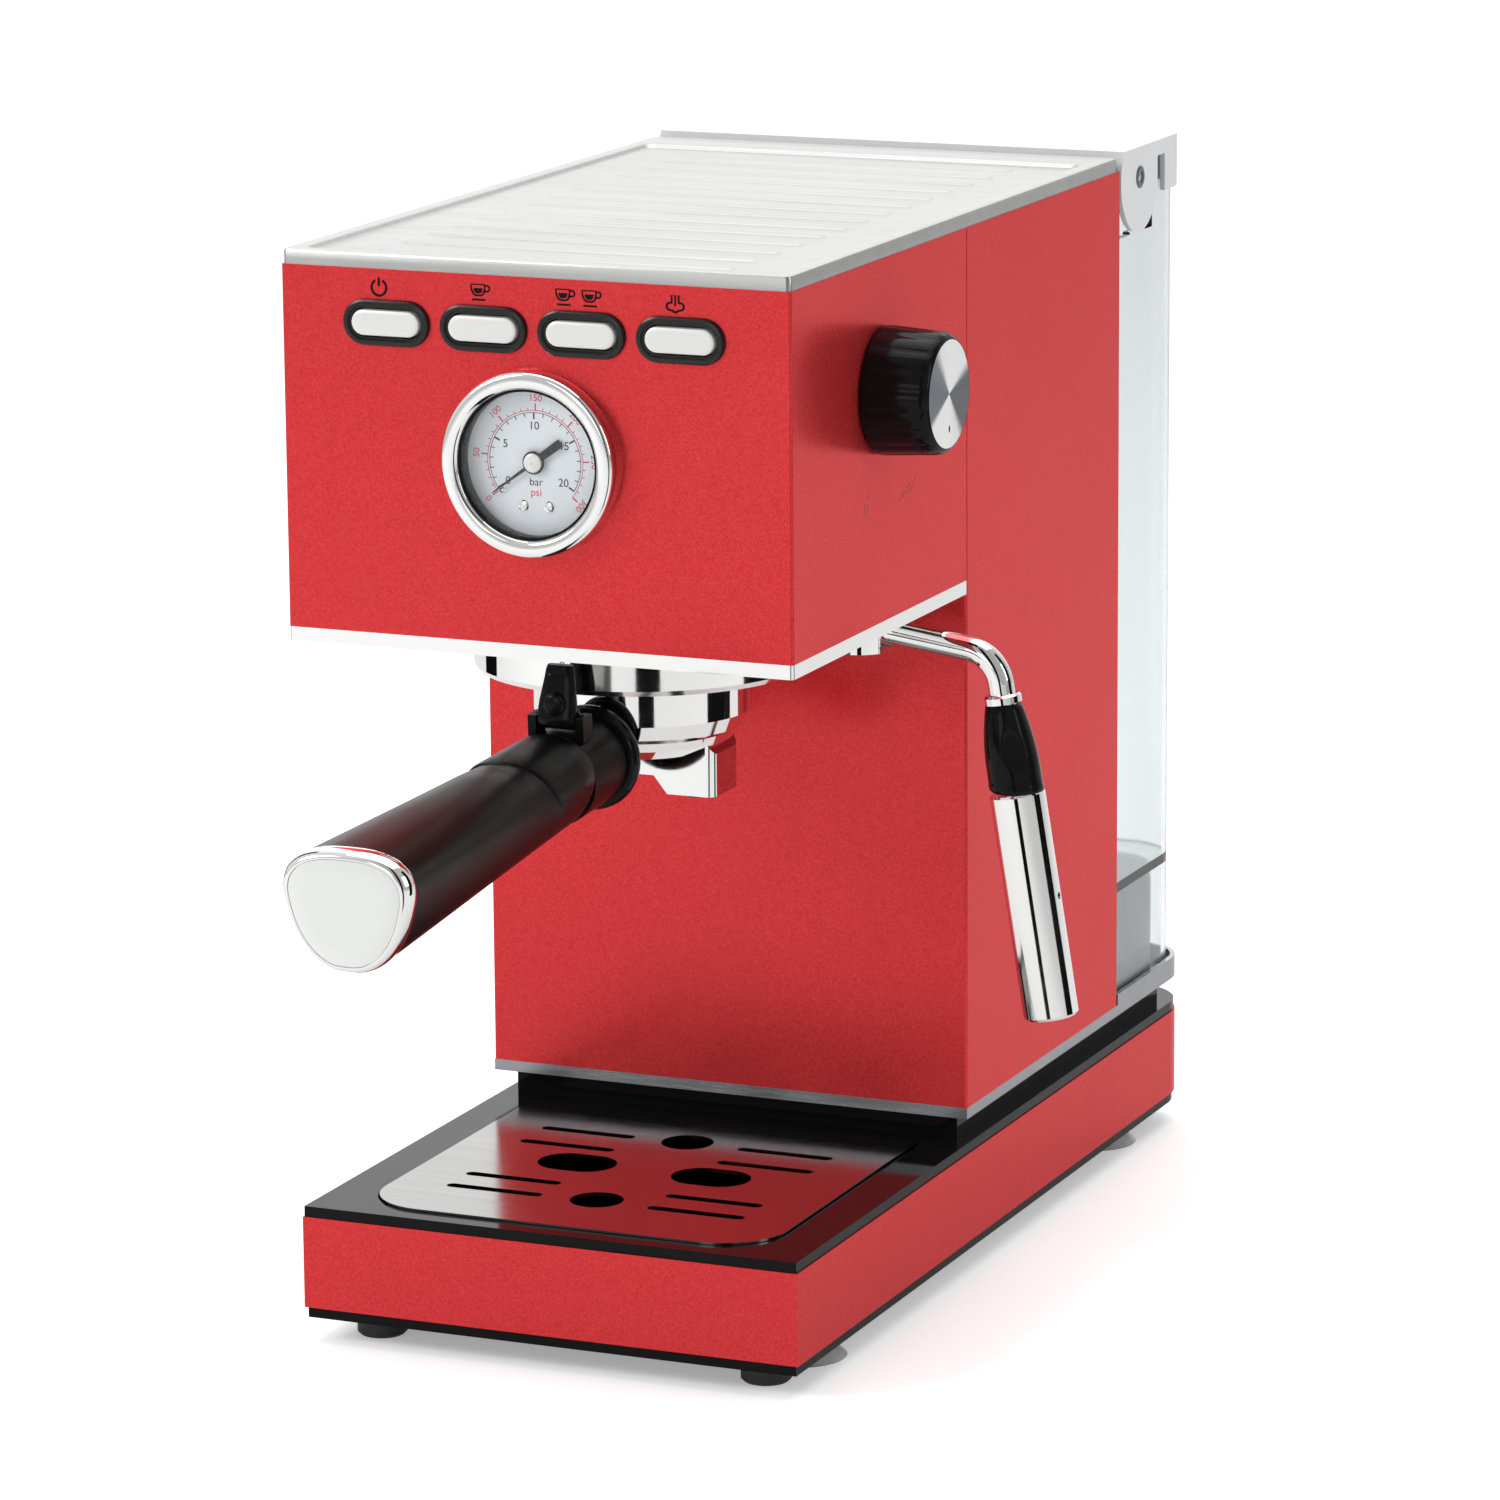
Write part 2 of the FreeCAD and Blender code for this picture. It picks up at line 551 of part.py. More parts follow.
def make_shelf():
    low = "(%s)" % column_top
    top = "(%s + shelf_height)" % column_top
    item = body("cup_shelf")
    edge = "(%s - shelf_gap)" % half
    pad(item, "XY", low, top, rect("-" + edge, edge, "shelf_gap", "shelf_back"))
    rounded(item, "Z", "1", [("-" + edge, "shelf_gap"), (edge, "shelf_gap")])
    inner = "(%s - 2*shelf_skin)" % edge
    pocket(item, "XY", "%s - 1" % low, "%s - recess_depth - shelf_skin" % top,
           rect("-" + inner, inner, "shelf_gap + 2*shelf_skin", "shelf_back - 2*shelf_skin"))
    pocket(item, "XY", "%s - recess_depth" % top, "%s + 1" % top,
           rect("-recess_half", "recess_half", "recess_front", "recess_back"))
    rib = pad(item, "XY", "%s - recess_depth - 0.4" % top, "%s - recess_depth + rib_height" % top,
              stadium("0", "rib_first", "2*rib_half", "rib_width"))
    pattern(item, rib, "Y", "rib_count", "rib_pitch")


# ---------------------------------------------------------------- controls

def make_buttons():
    item = body("button_bezels")
    spots = ["%s*button_pitch" % k for k in (-1.5, -0.5, 0.5, 1.5)]
    pad(item, "XZ", "-bezel_out", "0",
        *[stadium(x, button_level, "bezel_long", "bezel_tall") for x in spots])
    sleeve = ("button_long + 2*button_gap + 2*sleeve_wall - 0.1",
              "button_tall + 2*button_gap + 2*sleeve_wall - 0.1")
    pad(item, "XZ", "-0.4", "sleeve_deep", *[stadium(x, button_level, *sleeve) for x in spots])
    pocket(item, "XZ", "-bezel_out - 1", "sleeve_deep + 1",
           *[stadium(x, button_level, "button_long + 2*button_gap",
                     "button_tall + 2*button_gap") for x in spots])

    for label, k in (("power_button", -1.5), ("one_cup_button", -0.5),
                     ("two_cup_button", 0.5), ("steam_button", 1.5)):
        item = body(label, "%s*button_pitch" % k, "0", button_level)
        pad(item, "XZ", "-button_out", "button_deep",
            stadium("0", "0", "button_long", "button_tall"))
        pad(item, "XZ", "sleeve_deep + 0.3", "sleeve_deep + 1.6",
            stadium("0", "0", "button_long + 2", "button_tall + 2"))

    item = body("button_carrier")
    low, high = "(%s - carrier_tall)" % button_level, "(%s + carrier_tall)" % button_level
    pad(item, "XZ", "sheet", "sheet + 2", rect("-carrier_half", "carrier_half", low, high))
    clear = ("button_long + 2*button_gap + 2*sleeve_wall + 0.2",
             "button_tall + 2*button_gap + 2*sleeve_wall + 0.2")
    pocket(item, "XZ", "sheet - 1", "sheet + 3",
           *[stadium(x, button_level, *clear) for x in spots])
    posts = [disc(x, z, "post_thick") for x in ("4 - carrier_half", "carrier_half - 4")
             for z in ("%s - carrier_tall + 3" % button_level,
                       "%s + carrier_tall - 3" % button_level)]
    pad(item, "XZ", "sheet + 1.5", "board_front", *posts)

    item = body("control_board")
    pad(item, "XZ", "board_front", "board_front + board_thick",
        rect("-carrier_half", "carrier_half", low, high))
    pad(item, "XZ", "switch_face", "board_front",
        *[rect("%s - switch_half" % x, "%s + switch_half" % x,
               "%s - switch_half" % button_level, "%s + switch_half" % button_level)
          for x in spots])


def make_gauge():
    recess = "(dial_thick + 0.4)"
    item = body("gauge_case")
    spin(item, "Y", [("-gauge_out + glass_thick + 1.6", "0"), ("gauge_back", "0"),
                     ("gauge_back", "gauge_case"),
                     ("-gauge_out + glass_thick + 1.6", "gauge_case")], along="gauge_z")
    pocket(item, "XZ", "-gauge_out", recess, disc("0", "gauge_z", "gauge_bore"))
    pocket(item, "XZ", "0", "gauge_back - 8", disc("0", "gauge_z", "1.2"))
    pad(item, "XZ", "gauge_back - 0.5", "gauge_back + 4", disc("0", "gauge_z", "5"))

    item = body("gauge_dial")
    pad(item, "XZ", "0.4", recess, disc("0", "gauge_z", "gauge_bore - 0.1"))
    pocket(item, "XZ", "0", "2", disc("0", "gauge_z", "1.2"))

    glass_front = "(-gauge_out + 1.6)"
    item = body("gauge_glass")
    pad(item, "XZ", glass_front, "%s + glass_thick" % glass_front,
        disc("0", "gauge_z", "gauge_case"))

    item = body("gauge_bezel")
    spin(item, "Y", [("-gauge_out + 1.6", "gauge_window"), ("-gauge_out + 0.6", "gauge_window"),
                     ("-gauge_out", "gauge_window + 1"), ("-gauge_out", "gauge_bezel - 2"),
                     ("-gauge_out + 2", "gauge_bezel"), ("0", "gauge_bezel"),
                     ("0", "gauge_case + 0.1"), ("-gauge_out + 1.6", "gauge_case + 0.1")],
         along="gauge_z")

    # the pointer rests at zero, lower left, 126 degrees round from straight up
    item = body("gauge_needle", "0", "0", "gauge_z", V(0, 1, 0), "-126")
    front = "(-needle_thick - 0.7)"
    pad(item, "XZ", front, "%s + needle_thick" % front,
        outline([("-0.5", "0"), ("-1.1", "-needle_tail"), ("1.1", "-needle_tail"), ("0.5", "0"),
                 ("0.15", "needle_length"), ("-0.15", "needle_length")]))
    pad(item, "XZ", "%s - 0.4" % front, "%s + needle_thick" % front, disc("0", "0", "needle_hub"))
    pad(item, "XZ", front, "gauge_back - 14", disc("0", "0", "0.7"))


def make_knob():
    item = body("steam_knob", half, "knob_y", "knob_z")
    bore = "(spindle_radius + 0.03)"
    spin(item, "X", [("knob_gap", bore), ("knob_gap", "knob_radius"),
                     ("knob_gap + 3", "knob_radius"),
                     ("knob_gap + knob_length - 2.5", "knob_front + 0.6"),
                     ("knob_gap + knob_length", "disc_radius + 0.5"),
                     ("knob_gap + knob_length", "disc_radius"),
                     ("knob_gap + knob_length - disc_thick", "disc_radius"),
                     ("knob_gap + knob_length - disc_thick", bore)])
    item = body("knob_disc", half, "knob_y", "knob_z")
    pad(item, "YZ", "knob_gap + knob_length - disc_thick", "knob_gap + knob_length",
        disc("0", "0", "disc_radius - 0.05"))
    item = body("valve_spindle", half, "knob_y", "knob_z")
    pad(item, "YZ", "-spindle_inside", "knob_gap + knob_length - disc_thick",
        disc("0", "0", "spindle_radius"))
    item = body("steam_valve", half, "knob_y", "knob_z")
    pad(item, "YZ", "-valve_length - sheet", "-sheet", disc("0", "0", "valve_radius"))
    pocket(item, "YZ", "-spindle_inside - 1", "0", disc("0", "0", "spindle_radius + spindle_fit"))


# ---------------------------------------------------------------- group and portafilter

def make_group():
    low = collar_low
    item = body("group_collar", "0", "group_y", "0")
    spin(item, "Z", [("ledge_bore", low), ("collar_radius - 1", low),
                     ("collar_radius", "%s + 1.5" % low), ("collar_radius", head_under),
                     ("collar_bore", head_under), ("collar_bore", "%s + ledge_thick" % low),
                     ("ledge_bore", "%s + ledge_thick" % low)])
    notch = "(lug_width/2 + 1.5)"
    pocket(item, "XY", "%s - 1" % low, "%s + ledge_thick + 0.5" % low,
           rect("-lug_reach - 0.6", "lug_reach + 0.6", "-" + notch, notch), turn="-lug_turn")

    item = body("group_head", "0", "group_y", "0")
    seat = "(%s + gasket_thick)" % gasket_low
    spin(item, "Z", [("3", seat), ("group_radius", seat), ("group_radius", "%s + 1.6" % head_under),
                     ("flange_radius", "%s + 1.6" % head_under),
                     ("flange_radius", "%s + 1.6 + flange_thick" % head_under),
                     ("boiler_radius", "%s + 1.6 + flange_thick" % head_under),
                     ("boiler_radius", "%s + group_neck" % head_under),
                     ("3", "%s + group_neck" % head_under)])
    item = body("group_gasket", "0", "group_y", "0")
    spin(item, "Z", [("gasket_bore", gasket_low), ("group_radius - 0.2", gasket_low),
                     ("group_radius - 0.2", seat), ("gasket_bore", seat)])
    item = body("shower_screen", "0", "group_y", "0")
    pad(item, "XY", "%s - screen_thick" % seat, seat, disc("0", "0", "screen_radius"))
    spin(item, "Z", [("0", "%s - screen_thick - 1.2" % seat),
                     ("4", "%s - screen_thick - 1.2" % seat),
                     ("4", "%s - screen_thick" % seat), ("0", "%s - screen_thick" % seat)])
    item = body("thermoblock", "0", "group_y", "0")
    pad(item, "XY", "%s + group_neck" % head_under, "%s + group_neck + boiler_height" % head_under,
        disc("0", "0", "boiler_radius"))


def make_portafilter():
    item = body("portafilter_body", "0", "group_y", "0")
    inner = "(cup_outer - cup_wall)"
    spin(item, "Z", [("0", "cup_bottom"), ("dome_radius - 8", "cup_bottom"),
                     ("dome_radius - 1", "cup_bottom + 3.5"), ("dome_radius", "cup_bottom + 6"),
                     ("cup_outer - 1.5", "cup_bend - 4"), ("cup_outer", "cup_bend"),
                     ("cup_outer", cup_top), (inner, cup_top), (inner, "cup_bend"),
                     ("dome_radius - cup_wall - 1", "cup_bottom + 6 + cup_floor"),
                     ("dome_radius - 8", "cup_bottom + cup_floor"), ("0", "cup_bottom + cup_floor")])
    lug = "(lug_width/2)"
    pad(item, "XY", lug_low, "%s + lug_thick" % lug_low,
        rect("-lug_reach", "-%s - 0.5" % inner, "-" + lug, lug),
        rect("%s + 0.5" % inner, "lug_reach", "-" + lug, lug))
    pocket(item, "XY", "cup_bottom - 1", "cup_bottom + cup_floor + 1", disc("0", "0", "3.5"))

    boss = body("stem_boss", *handle_frame, V(1, 0, 0), "handle_fall")
    spin(boss, "Y", [("-neck_length", "0"), ("3", "0"), ("3", "stem_radius + 2"),
                     ("-1", "stem_radius + 3.5"), ("-ring_gap", "stem_radius + 3.5"),
                     ("-ring_gap", "stem_radius"), ("-neck_length", "stem_radius")])
    del nodes["stem_boss"]
    round_cup = doc.addObject("Part::Cylinder", "cup_round")
    bind(round_cup, "Radius", "cup_outer")
    bind(round_cup, "Height", "cup_outer")
    place(round_cup, "0", "group_y", "cup_bottom")
    stem = doc.addObject("Part::Cut", "handle_stem")
    stem.Base, stem.Tool = boss, round_cup
    stem.Label = "handle_stem"
    nodes["handle_stem"] = stem

    item = body("filter_basket", "0", "group_y", "0")
    outer = "(%s - basket_gap)" % inner
    bore = "(%s - basket_sheet)" % outer
    floor = "(%s - basket_depth)" % cup_top
    spin(item, "Z", [("0", floor), ("%s - 2" % outer, floor), (outer, "%s + 2" % floor),
                     (outer, cup_top), ("cup_outer - 0.4", cup_top),
                     ("cup_outer - 0.4", "%s + basket_rim" % cup_top),
                     (bore, "%s + basket_rim" % cup_top), (bore, "%s + 2.3" % floor),
                     ("%s - 2" % bore, "%s + basket_sheet" % floor),
                     ("0", "%s + basket_sheet" % floor)])

    item = body("spout_block", "0", "group_y", "0")
    leg = "(spout_half - spout_leg)"
    arch = "(spout_bottom + spout_arch)"
    pad(item, "XZ", "-spout_y", "spout_y",
        outline([("-spout_half", "spout_bottom"), ("-" + leg, "spout_bottom"),
                 ("-%s + 4" % leg, arch), ("%s - 4" % leg, arch), (leg, "spout_bottom"),
                 ("spout_half", "spout_bottom"), ("spout_half", "cup_bottom + 1"),
                 ("spout_half - 3", "cup_bottom + 5"), ("-spout_half + 3", "cup_bottom + 5"),
                 ("-spout_half", "cup_bottom + 1")]))
    rounded(item, "Z", "2.5", [("-spout_half", "-spout_y"), ("spout_half", "-spout_y"),
                               ("-spout_half", "spout_y"), ("spout_half", "spout_y")])
    spin(item, "Z", [("0", "cup_bottom"), ("dome_radius - 8", "cup_bottom"),
                     ("dome_radius - 1", "cup_bottom + 3.5"), ("dome_radius", "cup_bottom + 6"),
                     ("dome_radius + 4", "cup_bottom + 6"), ("dome_radius + 4", "cup_bottom + 20"),
                     ("0", "cup_bottom + 20")], cut=True)
    pocket(item, "XY", "%s - 1" % arch, "cup_bottom + 1", disc("0", "0", "3"))
    bores = [disc("-nozzle_x", "0", "nozzle_radius"), disc("nozzle_x", "0", "nozzle_radius")]
    pocket(item, "XY", "spout_bottom - 1", "spout_bottom + nozzle_seat", *bores)

    item = body("spout_nozzles", "0", "group_y", "0")
    bores = [disc("-nozzle_x", "0", "nozzle_radius"), disc("nozzle_x", "0", "nozzle_radius")]
    pad(item, "XY", "spout_bottom - nozzle_drop", "spout_bottom + nozzle_seat", *bores)
    holes = [disc("-nozzle_x", "0", "nozzle_radius - 1.2"),
             disc("nozzle_x", "0", "nozzle_radius - 1.2")]
    pocket(item, "XY", "spout_bottom - nozzle_drop - 1", "spout_bottom + nozzle_seat + 1", *holes)


handle_frame = ("0", "handle_start", "handle_z")


def grip_section(item, at, width, narrow, height):
    """Wide above and narrow below, like the outline of a plectrum with its corners cut."""
    drawn = sketch(item, "XZ", at)
    return fill(drawn, [outline([
        ("-(%s)/2" % width, "(%s)/2 - (%s)/4" % (height, height)),
        ("-(%s)/2 + (%s)/7" % (width, width), "(%s)/2" % height),
        ("(%s)/2 - (%s)/7" % (width, width), "(%s)/2" % height),
        ("(%s)/2" % width, "(%s)/2 - (%s)/4" % (height, height)),
        ("(%s)/2" % narrow, "-(%s)/2 + (%s)/8" % (height, height)),
        ("(%s)/3" % narrow, "-(%s)/2" % height),
        ("-(%s)/3" % narrow, "-(%s)/2" % height),
        ("-(%s)/2" % narrow, "-(%s)/2 + (%s)/8" % (height, height))])])


def loft(item, start, stop):
    first = grip_section(item, *start)
    second = grip_section(item, *stop)
    made = item.newObject("PartDesign::AdditiveLoft", item.Label + "_loft")
    made.Profile = first
    made.Sections = [second]
    made.Ruled = True
    doc.recompute()
    return made


def make_handle():
    item = body("handle_neck", *handle_frame, V(1, 0, 0), "handle_fall")
    spin(item, "Y", [("-ring_gap", "stem_radius"), ("-ring_gap", "neck_radius - 2.5"),
                     ("-ring_gap - 2", "neck_radius - 1"), ("-grip_start", "neck_radius - 1"),
                     ("-grip_start", "stem_radius")])
    ear = "(clip_width/2 + 0.3)"
    for side in ("-", ""):
        inner, outer = "%s%s" % (side, ear), "%s(%s + ear_wall)" % (side, ear)
        low, high = (outer, inner) if side else (inner, outer)
        pad(item, "YZ", low, high, rect("-clip_back - 3", "-clip_back + 3",
                                        "neck_radius - ear_rise", "neck_radius + ear_rise"))
    pad(item, "YZ", "-%s - 1" % ear, "%s + 1" % ear,
        disc("-clip_back", "neck_radius + pin_rise", "clip_pin"))

    item = body("handle_grip", *handle_frame, V(1, 0, 0), "handle_fall")
    loft(item, ("-grip_start", "grip_width", "neck_narrow", "neck_height"),
         ("-grip_end", "end_width - 1.6", "end_narrow", "end_height - 1.6"))
    pocket(item, "XZ", "-neck_length - 1", "-grip_start + 1", disc("0", "0", "stem_radius + 0.03"))

    item = body("handle_cap", *handle_frame, V(1, 0, 0), "handle_fall")
    loft(item, ("-grip_end", "end_width", "end_narrow + 1", "end_height"),
         ("-grip_end - cap_length", "end_width", "end_narrow + 1", "end_height"))
    face = "(-grip_end - cap_length)"
    drawn = grip_section(item, face, "end_width - 2*badge_inset",
                         "end_narrow + 1 - badge_inset", "end_height - 2*badge_inset")
    cut = item.newObject("PartDesign::Pocket", "badge_seat")
    cut.Profile = drawn
    bind(cut, "Length", "badge_thick")
    doc.recompute()

    item = body("cap_badge", *handle_frame, V(1, 0, 0), "handle_fall")
    drawn = grip_section(item, face, "end_width - 2*badge_inset",
                         "end_narrow + 1 - badge_inset", "end_height - 2*badge_inset")
    made = item.newObject("PartDesign::Pad", "badge_plate")
    made.Profile = drawn
    bind(made, "Length", "badge_thick")
    made.Reversed = True
    doc.recompute()

    item = body("basket_clip", *handle_frame, V(1, 0, 0), "handle_fall")
    edge = "(clip_width/2)"
    pin_at = ("-clip_back", "neck_radius + pin_rise")
    pad(item, "YZ", "-" + edge, edge,
        outline([("-clip_back - clip_eye + 0.3", "neck_radius + pin_rise"),
                 ("-clip_back + clip_eye - 0.3", "neck_radius + pin_rise"),
                 ("-clip_back + 1.4", "neck_radius + clip_lift"),
                 ("-clip_back + 1.4 - clip_thick", "neck_radius + clip_lift")]))
    pad(item, "YZ", "-" + edge, edge, disc(*pin_at, "clip_eye"))
    pocket(item, "YZ", "-%s - 1" % edge, "%s + 1" % edge, disc(*pin_at, "clip_pin + clip_fit"))


# ---------------------------------------------------------------- steam wand

def along_wand(distance):
    """Place on the wand's long leg, measured down from its bend, in the machine's frame."""
    x = "(ball_x + wand_first*cos(wand_fall) + (%s)*sin(wand_lean))" % distance
    z = "(ball_z - wand_first*sin(wand_fall) - (%s)*cos(wand_lean))" % distance
    return x, "ball_y", z


def make_wand():
    top = "(%s - socket_top_gap)" % head_under
    low = "(ball_z - socket_below)"
    cup = "(ball_radius + ball_gap)"
    item = body("wand_socket", "ball_x", "ball_y", "0")
    pad(item, "XY", low, top, disc("0", "0", "socket_radius"))
    pad(item, "XY", "%s - 1" % top, "%s + 8" % head_under, disc("0", "0", "socket_stud"))
    pocket(item, "XY", "ball_z - %s" % cup, "%s - 1" % top, disc("0", "0", cup))
    pocket(item, "XY", "%s - 1" % low, "%s - 0.6" % top,
           rect("0", "socket_radius + 2", "-slot_half", "slot_half"))

    pipe = body("wand_pipe", "ball_x", "ball_y", "ball_z", V(0, 1, 0), "wand_fall")
    tube(pipe, "wand_first", "(grip_top_at + grip_long + pipe_tail)", "(wand_lean + wand_fall)",
         "wand_bend", "wand_radius", "wand_bore")
    spin(pipe, "X", [("-ball_radius*0.8", "0"), ("-ball_radius*0.8", "ball_radius*0.6"),
                     ("-ball_radius*0.3", "ball_radius*0.94"),
                     ("ball_radius*0.3", "ball_radius*0.94"),
                     ("ball_radius*0.8", "ball_radius*0.6"), ("ball_radius*0.8", "wand_bore"),
                     ("0", "wand_bore"), ("0", "0")])

    bore = "(wand_radius + 0.03)"
    item = body("wand_nut", *along_wand("grip_top_at"), V(0, 1, 0), "-wand_lean")
    spin(item, "Z", [(bore, "0"), ("wand_nut_radius", "0"),
                     ("wand_nut_radius", "wand_nut - 0.6"),
                     ("wand_nut_radius - 0.6", "wand_nut"), (bore, "wand_nut")])

    item = body("wand_grip", *along_wand("grip_top_at"), V(0, 1, 0), "-wand_lean")
    spin(item, "Z", [(bore, "-grip_long"), ("grip_thick - 0.8", "-grip_long"),
                     ("grip_thick", "-grip_long + 1.2"), ("grip_thick", "-grip_long + 6"),
                     ("grip_thin + 0.8", "-4"), ("grip_thin", "-1"), ("grip_thin - 0.6", "0"),
                     (bore, "0")])

    item = body("froth_sleeve", *along_wand("grip_top_at + grip_long + 0.3"), V(0, 1, 0),
                "-wand_lean")
    inner = "(sleeve_radius - sleeve_skin)"
    spin(item, "Z", [("wand_radius + sleeve_fit", "0"), ("sleeve_radius - 0.4", "0"),
                     ("sleeve_radius", "-0.6"), ("sleeve_radius", "-sleeve_length + 0.8"),
                     ("sleeve_radius - 0.8", "-sleeve_length"), (inner, "-sleeve_length"),
                     (inner, "-sleeve_collar"), ("wand_radius + sleeve_fit", "-sleeve_collar")])
    pocket(item, "YZ", "-sleeve_radius - 1", "sleeve_radius + 1", disc("0", "-30", "1"))


# ---------------------------------------------------------------- drip tray

def make_tray():
    low = "(%s + tray_lift)" % band_low
    item = body("drip_tray")
    pad(item, "XY", low, tray_top, well())
    pocket(item, "XY", "%s + tray_floor" % low, "%s + 1" % tray_top, well("-tray_wall"))
    pad(item, "XY", "%s + tray_floor - 0.5" % low, "%s + tray_floor + post_height" % low,
        disc("0", "float_y", "post_radius"))

    item = body("drip_grid")
    grid_low = "(%s + grid_seat)" % tray_top
    grid_top = "(%s + grid_thick)" % grid_low
    pad(item, "XY", grid_low, grid_top, well())
    slots = [stadium(x, y, "slot_length", "slot_wide") for x in ("-slot_x", "slot_x")
             for y in ("float_y - 1.5", "float_y + 11", "drain_y - 15.5", "drain_y - 1")]
    ovals = [stadium(x, "oval_y", "oval_long", "oval_wide") for x in ("-oval_x", "oval_x")]
    pocket(item, "XY", "%s - 1" % grid_low, "%s + 1" % grid_top, *slots, *ovals,
           disc("0", "float_y", "hole_radius"), disc("0", "drain_y", "hole_radius"))

    item = body("tray_float")
    floor = "(%s + tray_floor)" % low
    pad(item, "XY", "%s + 0.3" % floor, "float_top", disc("0", "float_y", "float_radius"))
    pocket(item, "XY", floor, "%s + post_height + 6" % floor,
           disc("0", "float_y", "post_radius + 0.4"))


# ---------------------------------------------------------------- water tank

def make_tank():
    item = body("water_tank")
    pad(item, "XY", "tank_low", "tank_rim",
        panel("-tank_half", "tank_half", "tank_front", "tank_back", back="tank_corner"))
    inner, back = "(tank_half - tank_wall)", "(tank_back - tank_wall)"
    ahead = "(tank_front + tank_wall)"
    room = panel("-" + inner, inner, ahead, back, back="tank_corner - tank_wall")
    pocket(item, "XY", "tank_floor + floor_thick", "tank_rim + 1", room)
    pocket(item, "XY", "tank_low - 1", "tank_floor", room)
    pocket(item, "XY", "tank_low - 1", "hose_z + 8",
           rect("-hose_radius - 5", "hose_radius + 5", "tank_front - 1", "tank_front + 3"))
    # the front of the rim is cut down so that the lid can turn, and leaves a lug for each pin
    wide = "(tank_half + 1)"
    outer_ring = [("tank_front - 1", "front_rim"), ("skirt_front - 6", "front_rim"),
                  ("skirt_front - 6", "tank_rim + 1"), ("tank_front - 1", "tank_rim + 1")]
    pocket(item, "YZ", "-" + wide, wide, outline(outer_ring))
    for low, high in (("-tank_half", "-" + inner), (inner, "tank_half")):
        pad(item, "YZ", low, high, rect("pin_y - lug_radius", "pin_y + lug_radius",
                                        "front_rim - 1", pin_z))
        pad(item, "YZ", low, high, disc("pin_y", pin_z, "lug_radius - 0.001"))
    for low, high in (("-lid_half", "-" + inner), (inner, "lid_half")):
        pad(item, "YZ", low, high, disc("pin_y", pin_z, "pin_radius"))
    pad(item, "XY", "tank_floor - stub_drop", "tank_floor + 1",
        disc("0", "(dock_front + dock_back)/2", "stub_radius"))
    pocket(item, "XY", "tank_floor - stub_drop - 1", "tank_floor + floor_thick + 1",
           disc("0", "(dock_front + dock_back)/2", "stub_radius - 2"))

    item = body("tank_lid")
    top = "(%s + lid_skin)" % lid_low
    pad(item, "XY", "tank_rim - skirt_drop", top,
        panel("-lid_half", "lid_half", "pin_y", "lid_back", back="tank_corner + lid_wall"))
    pad(item, "YZ", "-lid_half", "lid_half", disc("pin_y", pin_z, "lid_reach"))
    wide = "(lid_half + 1)"
    pocket(item, "XY", top, "%s + 10" % top, rect("-" + wide, wide, "pin_y - 17", "lid_back"))
    inner, back = "(lid_half - lid_wall)", "(lid_back - lid_wall)"
    pocket(item, "XY", "tank_rim - 30", lid_low,
           panel("-" + inner, inner, "pin_y - 17", back, back="tank_corner"))
    pocket(item, "YZ", "-" + wide, wide,
           rect("pin_y + lid_reach - 1", "skirt_front", "tank_rim - 30", lid_low))
    pocket(item, "YZ", "-" + wide, wide, disc("pin_y", pin_z, "pin_radius + pin_fit"))

    item = body("tank_dock")
    pad(item, "XY", column_low, "tank_floor - dock_gap",
        rect("-dock_half", "dock_half", "dock_front", "dock_back"))
    pocket(item, "XY", "tank_floor - stub_drop - 3", "tank_floor",
           disc("0", "(dock_front + dock_back)/2", "stub_radius + stub_gap"))
    pocket(item, "XZ", "dock_front - 1", "(dock_front + dock_back)/2",
           disc("0", "hose_z", "hose_radius"))
    pocket(item, "XY", "hose_z - 1", "tank_floor - stub_drop - 2",
           disc("0", "(dock_front + dock_back)/2", "hose_radius"))


# ---------------------------------------------------------------- inside

def make_inside():
    item = body("chassis")
    plate_back = "(chassis_y + sheet)"
    pad(item, "XZ", "chassis_y", plate_back,
        rect("-chassis_half", "chassis_half", column_low, "chassis_top"))
    pad(item, "XY", column_low, "%s + sheet" % column_low,
        rect("-chassis_half", "chassis_half", "chassis_y", "column_back - 2*sheet"))

    item = body("pump_mounts")
    for z in ("pump_low + mount_height", "pump_high - 2*mount_height"):
        pad(item, "XZ", plate_back, "pump_y",
            rect("-pump_half + 4", "pump_half - 4", z, "%s + mount_height" % z))

    item = body("pump")
    centre = "(pump_y + pump_half)"
    pad(item, "XY", "pump_low", "pump_high",
        rect("-pump_half", "pump_half", "pump_y", "pump_y + 2*pump_half"))
    pad(item, "XY", "pump_low - hose_stub", "pump_low", disc("0", centre, "pump_nose"))
    pad(item, "XY", "pump_high", "pump_high + hose_rise", disc("0", centre, "pump_nose"))

    item = body("solenoid_valve")
    pad(item, "XY", "solenoid_low", "solenoid_low + solenoid_height",
        rect("solenoid_x - solenoid_size/2", "solenoid_x + solenoid_size/2", plate_back,
             "%s + solenoid_size" % plate_back))

    item = body("hoses")
    pad(item, "XZ", centre, "dock_front", disc("0", "hose_z", "hose_radius"))
    pad(item, "XY", "hose_z", "pump_low - hose_stub", disc("0", centre, "hose_radius"))
    ball(item, centre, "hose_z", "hose_radius")
    high = "(pump_high + hose_rise)"
    line = "(%s + group_neck + boiler_height/2)" % head_under
    pad(item, "XY", high, line, disc("0", centre, "hose_radius"))
    pad(item, "XZ", "group_y + boiler_radius", centre, disc("0", line, "hose_radius"))
    ball(item, centre, line, "hose_radius")
    plate = nodes["chassis"]
    pocket(plate, "XZ", "chassis_y - 1", "%s + 1" % plate_back, disc("0", line, "hose_radius + 1"))


